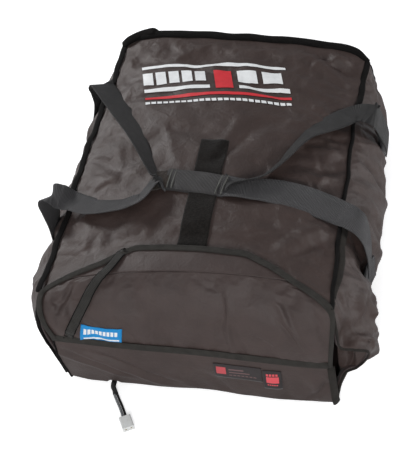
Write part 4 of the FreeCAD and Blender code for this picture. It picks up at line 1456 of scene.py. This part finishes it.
# The print is a plain band of stripes and blocks, laid out in shares of its own width and height
PRINT_LEFT, PRINT_RIGHT = -0.165, 0.112
PRINT_FRONT, PRINT_BACK = 0.142, 0.250
PRINT_SLANT = -0.030
PRINT_SHARES = (
    ("white_print", 0.00, 1.00, 0.90, 0.97, 1),
    ("white_print", 0.00, 0.46, 0.52, 0.80, 5),
    ("red_print", 0.50, 0.62, 0.34, 0.80, 1),
    ("white_print", 0.66, 1.00, 0.52, 0.80, 2),
    ("white_print", 0.00, 0.46, 0.34, 0.42, 1),
    ("white_print", 0.66, 1.00, 0.34, 0.42, 1),
    ("red_print", 0.00, 1.00, 0.17, 0.24, 1),
    ("white_print", 0.00, 1.00, 0.02, 0.08, 24),
)


def make_print(tree):
    def place(share_x, share_y):
        x = mix(PRINT_LEFT, PRINT_RIGHT, share_x) + PRINT_SLANT * (share_y - 0.5)
        y = mix(PRINT_FRONT, PRINT_BACK, share_y) + 0.012 * (share_x - 0.5)
        return (x, y)

    number = 0
    for material, left, right, low, high, pieces in PRINT_SHARES:
        step = (right - left) / pieces
        for k in range(pieces):
            a = left + step * k
            b = a + step * (0.78 if pieces > 1 else 1.0)
            outline = (place(a, low), place(b, low), place(b, high), place(a, high))
            print_patch(f"print_block_{number}", outline, tree, material)
            number += 1


# Webbing handles. Each station is (middle, across): the strap's centre and its width direction.
# Stations run from the grip outwards and down to the sewn webbing
STRAPS = {
    "rear_left_handle": (
        "rear_left_strap", (-0.235, 0.175, 0.238),
        (
            ((-0.0700, -0.0620, 0.2560), (0.10, 0.99, -0.10)),
            ((-0.0840, -0.0570, 0.2570), (0.30, 0.70, -0.65)),
            ((-0.0955, -0.0480, 0.2570), (0.45, 0.35, -0.82)),
            ((-0.1373, 0.0277, 0.2555), (0.67, 0.27, -0.69)),
            ((-0.1803, 0.1008, 0.2451), (0.77, 0.43, -0.46)),
            ((-0.2163, 0.1517, 0.2402), (0.75, 0.51, -0.43)),
            ((-0.2480, 0.1950, 0.2390), (0.75, 0.53, -0.40)),
            ((-0.2545, 0.2020, 0.2350), (0.74, 0.58, -0.32)),
            ((-0.2570, 0.2050, 0.2260), (0.60, 0.80, -0.10)),
            ((-0.2630, 0.2060, 0.2000), (0.30, 0.95, 0.0)),
            ((-0.2760, 0.2020, 0.1620), (0.10, 0.99, 0.0)),
            ((-0.2920, 0.1960, 0.1200), (0.0, 1.0, 0.0)),
        ),
    ),
    "front_left_handle": (
        "front_left_strap", (-0.255, -0.092, 0.238),
        (
            ((-0.0700, -0.0640, 0.2550), (0.0, 1.00, 0.0)),
            ((-0.0850, -0.0670, 0.2580), (-0.45, 0.70, -0.50)),
            ((-0.0940, -0.0799, 0.2580), (-0.66, 0.33, -0.67)),
            ((-0.1073, -0.1063, 0.2558), (-0.42, 0.69, -0.59)),
            ((-0.1275, -0.1110, 0.2479), (-0.07, 0.91, -0.41)),
            ((-0.1525, -0.1150, 0.2420), (0.08, 0.92, -0.37)),
            ((-0.2004, -0.1098, 0.2300), (0.15, 0.96, -0.24)),
            ((-0.2394, -0.0930, 0.2250), (0.20, 0.97, -0.13)),
            ((-0.2620, -0.0925, 0.2360), (0.45, 0.89, -0.03)),
            ((-0.2760, -0.0950, 0.2395), (0.69, 0.73, 0.0)),
            ((-0.2820, -0.0960, 0.2330), (0.64, 0.77, 0.0)),
            ((-0.2820, -0.0980, 0.2150), (0.42, 0.91, 0.0)),
            ((-0.2820, -0.1000, 0.1850), (0.18, 0.98, 0.0)),
            ((-0.2860, -0.1000, 0.1500), (0.0, 1.0, 0.0)),
            ((-0.2880, -0.1000, 0.1200), (0.0, 1.0, 0.0)),
        ),
    ),
    "rear_right_handle": (
        "rear_right_strap", (0.255, 0.150, 0.230),
        (
            ((0.0360, -0.0660, 0.2560), (0.0, 1.0, 0.0)),
            ((0.0500, -0.0640, 0.2580), (-0.02, 0.76, -0.65)),
            ((0.0700, -0.0580, 0.2580), (-0.25, 0.66, -0.71)),
            ((0.0900, -0.0500, 0.2570), (-0.46, 0.57, -0.68)),
            ((0.1080, -0.0360, 0.2560), (-0.60, 0.35, -0.72)),
            ((0.1320, -0.0020, 0.2560), (-0.66, 0.23, -0.72)),
            ((0.1450, 0.0310, 0.2510), (-0.73, 0.22, -0.65)),
            ((0.1600, 0.0640, 0.2450), (-0.79, 0.34, -0.52)),
            ((0.1800, 0.0940, 0.2370), (-0.79, 0.56, -0.28)),
            ((0.2030, 0.1210, 0.2290), (-0.67, 0.72, -0.15)),
            ((0.2368, 0.1530, 0.2240), (-0.33, 0.94, -0.12)),
            ((0.2610, 0.1500, 0.2310), (0.22, 0.97, -0.08)),
            ((0.2735, 0.1430, 0.2340), (0.24, 0.96, 0.05)),
            ((0.2790, 0.1470, 0.2240), (0.08, 0.98, 0.16)),
            ((0.2840, 0.1580, 0.1950), (0.0, 0.96, 0.28)),
            ((0.2900, 0.1720, 0.1600), (0.0, 0.96, 0.28)),
            ((0.2935, 0.1830, 0.1250), (0.0, 0.98, 0.16)),
            ((0.2925, 0.1850, 0.1100), (0.0, 1.0, 0.0)),
        ),
    ),
    "front_right_handle": (
        "front_right_strap", (0.240, -0.095, 0.230),
        (
            ((0.0300, -0.0700, 0.2550), (0.0, 1.0, 0.0)),
            ((0.0605, -0.0735, 0.2565), (-0.10, 0.98, -0.12)),
            ((0.0944, -0.0720, 0.2530), (0.02, 1.00, 0.0)),
            ((0.1340, -0.0749, 0.2480), (0.15, 0.97, 0.17)),
            ((0.1732, -0.0815, 0.2421), (0.23, 0.93, 0.27)),
            ((0.2074, -0.0894, 0.2353), (0.24, 0.94, 0.24)),
            ((0.2410, -0.0980, 0.2290), (0.39, 0.90, 0.16)),
            ((0.2600, -0.1080, 0.2290), (0.44, 0.89, -0.02)),
            ((0.2740, -0.1130, 0.2190), (0.26, 0.95, -0.10)),
            ((0.2830, -0.1170, 0.1960), (0.08, 0.99, -0.10)),
            ((0.2880, -0.1220, 0.1600), (0.00, 1.0, -0.04)),
            ((0.2880, -0.1260, 0.1200), (0.00, 1.0, 0.0)),
        ),
    ),
}


# Where a twisted stretch stands on its edge it is folded narrower: (station, share of the webbing's width)
NARROWED = {
    "rear_right_handle": (
        (0, 1.0), (1, 0.70), (2, 0.62), (3, 0.62), (4, 0.66), (5, 0.74), (6, 0.80), (7, 0.86),
        (8, 0.95), (9, 1.0),
    ),
    "rear_left_handle": ((0, 1.0), (1, 0.85), (2, 0.72), (3, 0.90), (4, 1.0)),
    "front_left_handle": ((0, 1.0), (1, 0.88), (2, 0.82), (3, 0.92), (4, 1.0)),
}


def clearance(middle, across):
    """How far a strap has to rise so that the top panel's folds stay under it."""
    rise = 0.0
    for share in (-0.5, -0.25, 0.0, 0.25, 0.5):
        place = middle + across * WEBBING * share
        if abs(place.x) > seam_reach(1 if place.x > 0 else -1, place.y) - 0.006:
            continue
        hit = top_tree.ray_cast(place + Vector((0, 0, 0.1)), Vector((0, 0, -1)))[0]
        if hit:
            rise = max(rise, hit.z + 0.0020 - place.z)
    return min(rise, 0.003)


def make_straps():
    for name, (node, outer, stations) in STRAPS.items():
        middles = [Vector(m) for m, _ in stations]
        sides = [Vector(a).normalized() for _, a in stations]
        count = 16 * (len(stations) - 1)
        path = [spline(middles, k / count) for k in range(count + 1)]
        wide = [spline(sides, k / count).normalized() for k in range(count + 1)]
        ups = []
        for k in range(count + 1):
            ahead = path[min(k + 1, count)] - path[max(k - 1, 0)]
            ups.append(ahead.cross(wide[k]).normalized())
        needed = [clearance(middle, across) for middle, across in zip(path, wide)]
        for k, middle in enumerate(path):
            near = needed[max(0, k - 7):k + 8]
            middle.z += sum(near) / len(near) + 0.5 * (max(near) - sum(near) / len(near))
        narrowed = NARROWED.get(name, ((0, 1.0),))
        widths = [straight_table(narrowed, k / 16) for k in range(count + 1)]
        piece = sweep(name, path, ups, tape_section(WEBBING, WEBBING_THICK, 0.0004, 12), widths)
        # The rear straps take the copy of the webbing painted darker as shade.
        finish_piece(piece, None, ("shaded_webbing" if "rear" in name else "webbing",), (node,))
        inner = stations[1][0]
        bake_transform(piece)
        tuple(inner)


SEWN = (
    ("rear_left_webbing", -1, 0.195, "rear_side_webbings"),
    ("rear_right_webbing", 1, 0.185, ""),
    ("front_left_webbing", -1, -0.100, "front_side_webbings"),
    ("front_right_webbing", 1, -0.126, ""),
)


def make_sewn_webbings():
    """The straps' ends, sewn flat on the gussets with box stitches."""
    for name, side, middle, node in SEWN:
        wall = bpy.data.objects[("right" if side > 0 else "left") + "_side_wall"]
        tree = tree_of(wall)

        def place(u, v):
            z = mix(0.128, 0.016, u)
            y = middle + (v - 0.5) * WEBBING
            start = Vector((side * 0.45, y, z))
            hit = tree.ray_cast(start, Vector((-side, 0, 0)), 0.4)
            x = hit[0].x if hit[0] is not None else side * 0.25
            return Vector((x + side * 0.0008, y, z))

        piece = grid(name, 60, 14, place)
        outward(piece, Vector((0, middle, 0.06)))
        thicken(piece, WEBBING_THICK, offset=1.0)
        finish_piece(piece, "bag", ("webbing",), (node,) if node else ())
        stitch(name + "_stitches", tree, side, middle)


def stitch(name, tree, side, middle):
    """A stitched box with a cross, as short thread bars."""
    low, high, half = 0.024, 0.062, 0.019
    corners = [(-half, low), (half, low), (half, high), (-half, high)]
    lines = [(corners[k], corners[(k + 1) % 4]) for k in range(4)]
    lines += [(corners[0], corners[2]), (corners[1], corners[3])]
    work = bmesh.new()
    for (y0, z0), (y1, z1) in lines:
        length = math.hypot(y1 - y0, z1 - z0)
        count = int(length / 0.0034)
        for k in range(count):
            a, b = (k + 0.12) / count, (k + 0.80) / count
            ends = []
            for t in (a, b):
                y, z = middle + mix(y0, y1, t), mix(z0, z1, t)
                hit = tree.ray_cast(Vector((side * 0.45, y, z)), Vector((-side, 0, 0)), 0.4)
                x = hit[0].x if hit[0] is not None else side * 0.25
                ends.append(Vector((x + side * (0.0008 + WEBBING_THICK), y, z)))
            along = (ends[1] - ends[0]).normalized()
            across = along.cross(Vector((1, 0, 0))) * 0.0005
            out = Vector((side * 0.0007, 0, 0))
            rows = [[work.verts.new(e + w) for w in (-across, out, across)] for e in ends]
            for j in range(2):
                work.faces.new((rows[0][j], rows[0][j + 1], rows[1][j + 1], rows[1][j]))
    mesh = bpy.data.meshes.new(name)
    work.to_mesh(mesh)
    work.free()
    piece = new_object(name, mesh)
    return finish_piece(piece, "bag", ("thread",))


GRIP_LEFT = Vector((-0.0720, -0.0595, 0.2568))
GRIP_RIGHT = Vector((0.0400, -0.0715, 0.2562))


def make_grip():
    """The wrap round both straps, with its bar stitches and the pile at its left end."""
    path = [
        GRIP_LEFT.lerp(GRIP_RIGHT, k / 40) + Vector((0, 0, 0.0014 * math.sin(math.pi * k / 40)))
        for k in range(41)
    ]
    ups = [Vector((0, -0.10 + 0.05 * math.sin(k * 0.2), 1)) for k in range(41)]
    section = []
    for k in range(28):
        a = 2 * math.pi * k / 28
        c, d = math.cos(a), math.sin(a)
        across = 0.0235 * abs(c) ** 0.5 * (1 if c > 0 else -1)
        up = 0.0052 * abs(d) ** 0.7 * (1 if d > 0 else -1)
        section.append((across, up))
    wrap = sweep("grip", path, ups, section)
    subdivide(wrap)
    baked(wrap)
    finish_piece(wrap, "grip", ("grip_cloth",), ("grip_wrap", "grip_webbings"))
    run = (GRIP_RIGHT - GRIP_LEFT).normalized()
    side = Vector((-run.y, run.x, 0))
    number = 0
    for share, lean in ((0.875, 0.06), (0.965, 0.06), (0.075, -0.05), (0.145, -0.05)):
        middle = GRIP_LEFT.lerp(GRIP_RIGHT, share)
        bar = []
        for k in range(21):
            t = k / 10 - 1
            height = Vector((0, 0, 0.0062 - 0.0020 * t ** 6))
            bar.append(middle + side * (0.0225 * t) + run * (lean * 0.02 * t) + height)
        number += 1
        thread = tube_section(0.0026, 0.0020, 8)
        piece = sweep(f"grip_bar_stitch_{number}", bar, [Vector((0, 0, 1))] * 21, thread)
        finish_piece(piece, "grip", ("bar_thread",))

    def place(u, v):
        x = mix(-0.0960, -0.0640, u)
        y = mix(-0.0800, -0.0405, v) - 0.10 * (x + 0.08) - 0.006 * (1 - u) * (0.5 - v)
        dome = math.sin(math.pi * v) * 0.0030
        height = mix(0.2520, 0.2600, ramp(0.0, 0.9, u)) + dome + 0.0008 * rough((x, y, 0), 0.006)
        return Vector((x, y, height))

    pile = grid("grip_pile_end", 30, 30, place)
    outward(pile, Vector((0, 0, 0)))
    thicken(pile, 0.0030)
    baked(pile)
    finish_piece(pile, "grip", ("brown_pile",))


# The pull strap's stations, from under the tongue's binding down to the fold band
PULL = (
    ((-0.1160, -0.2120, 0.2440), (0.86, -0.50, 0.05)),
    ((-0.1240, -0.2310, 0.2455), (0.86, -0.50, 0.05)),
    ((-0.1360, -0.2550, 0.2420), (0.90, -0.40, 0.15)),
    ((-0.1520, -0.2760, 0.2300), (0.93, -0.28, 0.20)),
    ((-0.1690, -0.2960, 0.2080), (0.93, -0.22, 0.26)),
    ((-0.1870, -0.3135, 0.1800), (0.92, -0.18, 0.32)),
    ((-0.2010, -0.3250, 0.1560), (0.94, -0.10, 0.30)),
    ((-0.2090, -0.3315, 0.1380), (0.97, -0.03, 0.20)),
)


def make_pull():
    middles = [Vector(m) for m, _ in PULL]
    sides = [Vector(a).normalized() for _, a in PULL]
    count = 90
    tree = BVHTree.FromPolygons(
        [v.co.copy() for v in lid.data.vertices] + [v.co.copy() for v in tongue.data.vertices],
        [tuple(p.vertices) for p in lid.data.polygons]
        + [tuple(i + len(lid.data.vertices) for i in p.vertices) for p in tongue.data.polygons],
    )
    path, ups = [], []
    for k in range(count + 1):
        t = k / count
        point = spline(middles, t)
        hit = tree.find_nearest(point)
        where, normal = hit[0], hit[1]
        if (point - where).dot(normal) < 0 and normal.z < 0:
            normal = -normal
        lift = 0.0016 + 0.0032 * math.sin(math.pi * min(1, t * 1.05)) ** 0.6
        if normal.z < 0 and normal.y > 0:
            normal = -normal
        path.append(where + normal * lift)
        ups.append(normal)
    smooth = [
        path[max(k - 3, 0)].lerp(path[min(k + 3, count)], 0.5).lerp(path[k], 0.4)
        for k in range(count + 1)
    ]
    # Two thin black strips along the pull strap's edges: painted shadow of the gap under the strap.
    for name, shift in (("pull_strap_left_shadow", -0.0078), ("pull_strap_right_shadow", 0.0076)):
        edge = []
        for k in range(count + 1):
            ahead = smooth[min(k + 1, count)] - smooth[max(k - 1, 0)]
            edge.append(smooth[k] + ahead.cross(ups[k]).normalized() * shift - ups[k] * 0.0004)
        fold = sweep(name, edge, ups, tape_section(0.0022, 0.0020, 0.0002, 4))
        finish_piece(fold, None, ("black_binding",))
        blend_tongue(fold)
    piece = sweep("pull_strap_webbing", smooth, ups, tape_section(0.0150, 0.0016, 0.0002, 8))
    finish_piece(piece, None, ("pull_webbing",), ("pull_strap",))
    return blend_tongue(piece)


# The lead: its route repeats the part's, worked out from listed points
LEAD_ROUTE = [
    Vector((-0.1445, -0.3475, 0.0047)),
    Vector((-0.1398, -0.3558, 0.0032)),
    Vector((-0.1336, -0.3656, 0.0028)),
    Vector((-0.1278, -0.3752, 0.0044)),
    Vector((-0.1234, -0.3834, 0.0044)),
]


LEAD_ACROSS = Vector((-0.8812, -0.4728, 0))
LEAD_APART = 0.00245
LEAD_THICK = 0.0046


def make_lead(name, offset, colour):
    """One lead: a curve through the route's places, beside its neighbour."""
    data = bpy.data.curves.new(name, "CURVE")
    data.dimensions = "3D"
    line = data.splines.new("NURBS")
    places = [p + LEAD_ACROSS * offset for p in LEAD_ROUTE]
    places[0] = places[0] + (places[1] - places[0]).normalized() * 0.0003
    line.points.add(len(places) - 1)
    for point, place in zip(line.points, places):
        point.co = (*place, 1)
    line.order_u = 3
    line.use_endpoint_u = True
    line.resolution_u = 12
    data.bevel_depth = LEAD_THICK / 2
    data.bevel_resolution = 5
    data.use_fill_caps = True
    lead = bpy.data.objects.new(name, data)
    bpy.context.scene.collection.objects.link(lead)
    finish_piece(lead, "bag", (colour,), (name.replace("_wire", "_lead"),))


def make_strain_relief():
    """The rubber root of the lead, low enough to leave under the wall's hem."""
    places = [(LEAD_EXIT_X, -0.3195, 0.0058), (LEAD_EXIT_X, -0.3320, 0.0054), (-0.1490, -0.3400, 0.0050),
              (-0.1440, -0.3485, 0.0047)]
    path = [spline([Vector(place) for place in places], k / 12) for k in range(13)]
    widths = [1.0 - 0.40 * ramp(0.2, 0.9, k / 12) for k in range(13)]
    section = [(0.0050 * math.cos(math.pi * k / 8), 0.0038 * math.sin(math.pi * k / 8)) for k in range(16)]
    piece = sweep("lead_root", path, [Vector((0, 0, 1))] * 13, section, widths)
    subdivide(piece)
    finish_piece(piece, "bag", ("black_rubber",), ("lead_grommet",))


def make_leads():
    make_lead(
        "grey_wire", LEAD_APART, "grey_jacket",
    )
    make_lead("black_wire", -LEAD_APART, "black_jacket")


def make_camera():
    """The photograph's viewpoint, found from the bag's seams."""
    azimuth, elevation, roll = (math.radians(a) for a in (17.588, 47.572, -10.469))
    back = Vector((
        math.sin(azimuth) * math.cos(elevation),
        -math.cos(azimuth) * math.cos(elevation),
        math.sin(elevation),
    ))
    right = (-back).cross(Vector((0, 0, 1))).normalized()
    up = right.cross(-back)
    turned = math.cos(roll) * right + math.sin(roll) * up
    upright = -math.sin(roll) * right + math.cos(roll) * up
    data = bpy.data.cameras.new("camera")
    data.lens = 104
    camera = bpy.data.objects.new("camera", data)
    bpy.context.scene.collection.objects.link(camera)
    camera.matrix_world = Matrix((
        (turned.x, upright.x, back.x, 0.47113),
        (turned.y, upright.y, back.y, -1.57548),
        (turned.z, upright.z, back.z, 1.87978),
        (0, 0, 0, 1),
    ))
    data.clip_end = 30
    bpy.context.scene.camera = camera


def area_light(name, place, target, size, power, color=(1, 1, 1)):
    data = bpy.data.lights.new(name, "AREA")
    data.shape = "RECTANGLE"
    data.size, data.size_y = size
    data.energy = power
    data.color = color
    lamp = bpy.data.objects.new(name, data)
    bpy.context.scene.collection.objects.link(lamp)
    lamp.location = place
    lamp.rotation_mode = "QUATERNION"
    lamp.rotation_quaternion = (Vector(target) - Vector(place)).to_track_quat("-Z", "Y")


def make_studio():
    scene = bpy.context.scene
    scene.view_settings.view_transform = "Standard"
    world = bpy.data.worlds.new("studio")
    scene.world = world
    world.use_nodes = True
    tree = world.node_tree
    ground = tree.nodes["Background"]
    ground.inputs["Color"].default_value = (0.93, 0.95, 1.0, 1)
    ground.inputs["Strength"].default_value = 0.30
    seen = tree.nodes.new("ShaderNodeBackground")
    seen.inputs["Color"].default_value = (1, 1, 1, 1)
    seen.inputs["Strength"].default_value = 1.0
    path = tree.nodes.new("ShaderNodeLightPath")
    join = tree.nodes.new("ShaderNodeMixShader")
    tree.links.new(path.outputs["Is Camera Ray"], join.inputs[0])
    tree.links.new(ground.outputs[0], join.inputs[1])
    tree.links.new(seen.outputs[0], join.inputs[2])
    tree.links.new(join.outputs[0], tree.nodes["World Output"].inputs["Surface"])
    area_light("key", (-1.8, 1.3, 1.3), (-0.05, 0.0, 0.1), (0.6, 0.6), 32)
    area_light("side", (2.0, 0.3, 0.75), (0.1, -0.1, 0.1), (0.5, 0.5), 14)
    area_light("front_fill", (0.4, -2.3, 1.6), (0.05, -0.2, 0.1), (0.7, 0.7), 31)
    area_light("low_left", (-1.9, -1.6, 0.8), (-0.1, -0.3, 0.1), (0.6, 0.6), 7)
    floor_size = 7.0
    mesh = bpy.data.meshes.new("floor")
    corners = [(-floor_size, -floor_size, 0), (floor_size, -floor_size, 0), (floor_size, floor_size, 0),
               (-floor_size, floor_size, 0)]
    mesh.from_pydata(corners, [], [(0, 1, 2, 3)])
    floor = new_object("floor", mesh)
    s = Shader("floor_paper", (0.86, 0.86, 0.86), 0.9, specular=0.1)
    lift = s.node("ShaderNodeLightPath").outputs["Is Camera Ray"]
    s.set("Emission Color", (1, 1, 1, 1))
    s.link(s.maths("MULTIPLY", lift, 0.62), s.bsdf.inputs["Emission Strength"])
    mesh.materials.append(s.material)


make_camera()
make_studio()
make_leads()
make_strain_relief()
top = make_top()
top_tree = tree_of(top)
for wall_side in (-1, 1):
    make_side(wall_side)
make_mouth_pleat()
make_rear()
make_base()
front = make_front_wall()
lid = make_lid()
tongue = make_tongue()
make_hook_strip()
make_seam_tapes()
make_base_tapes()
make_corner_tapes()
make_mouth_tapes()
make_flap_tapes()
make_hem()
make_hinge_lining()
make_straps()
make_sewn_webbings()
make_grip()
make_pull()
strip_on(
    "loop_fastener", 0.050, -0.240, 0.042, 0.0, top_tree, 0.0004, 0.0022, "loop_pile", "bag", ("loop_strip",)
)
make_print(top_tree)


def make_labels():
    lid_tree = tree_of(lid)
    wall_tree = tree_of(front)
    label_on_front(
        "blue_tab", -0.182, -0.110, 0.1370, 0.1680, lid_tree,
        "blue_woven", blend_fold, ("blue_label",),
        -0.055, 0.004,
    )
    label_on_front(
        "care_tab", 0.041, 0.123, 0.066, 0.1015, wall_tree,
        "care_woven", blend_fold, ("care_label",),
        -0.085,
    )
    label_on_front(
        "heat_tab", 0.125, 0.156, 0.044, 0.0910, wall_tree,
        "heat_woven", blend_fold, ("heat_tag",),
        -0.060,
    )


make_labels()

for node in frame["nodes"].values():
    if not node.data.materials:
        continue
    slot_name = node.data.materials[0].name.split(".")[0]
    if slot_name in MATERIALS:
        node.data.materials[0] = MATERIALS[slot_name]
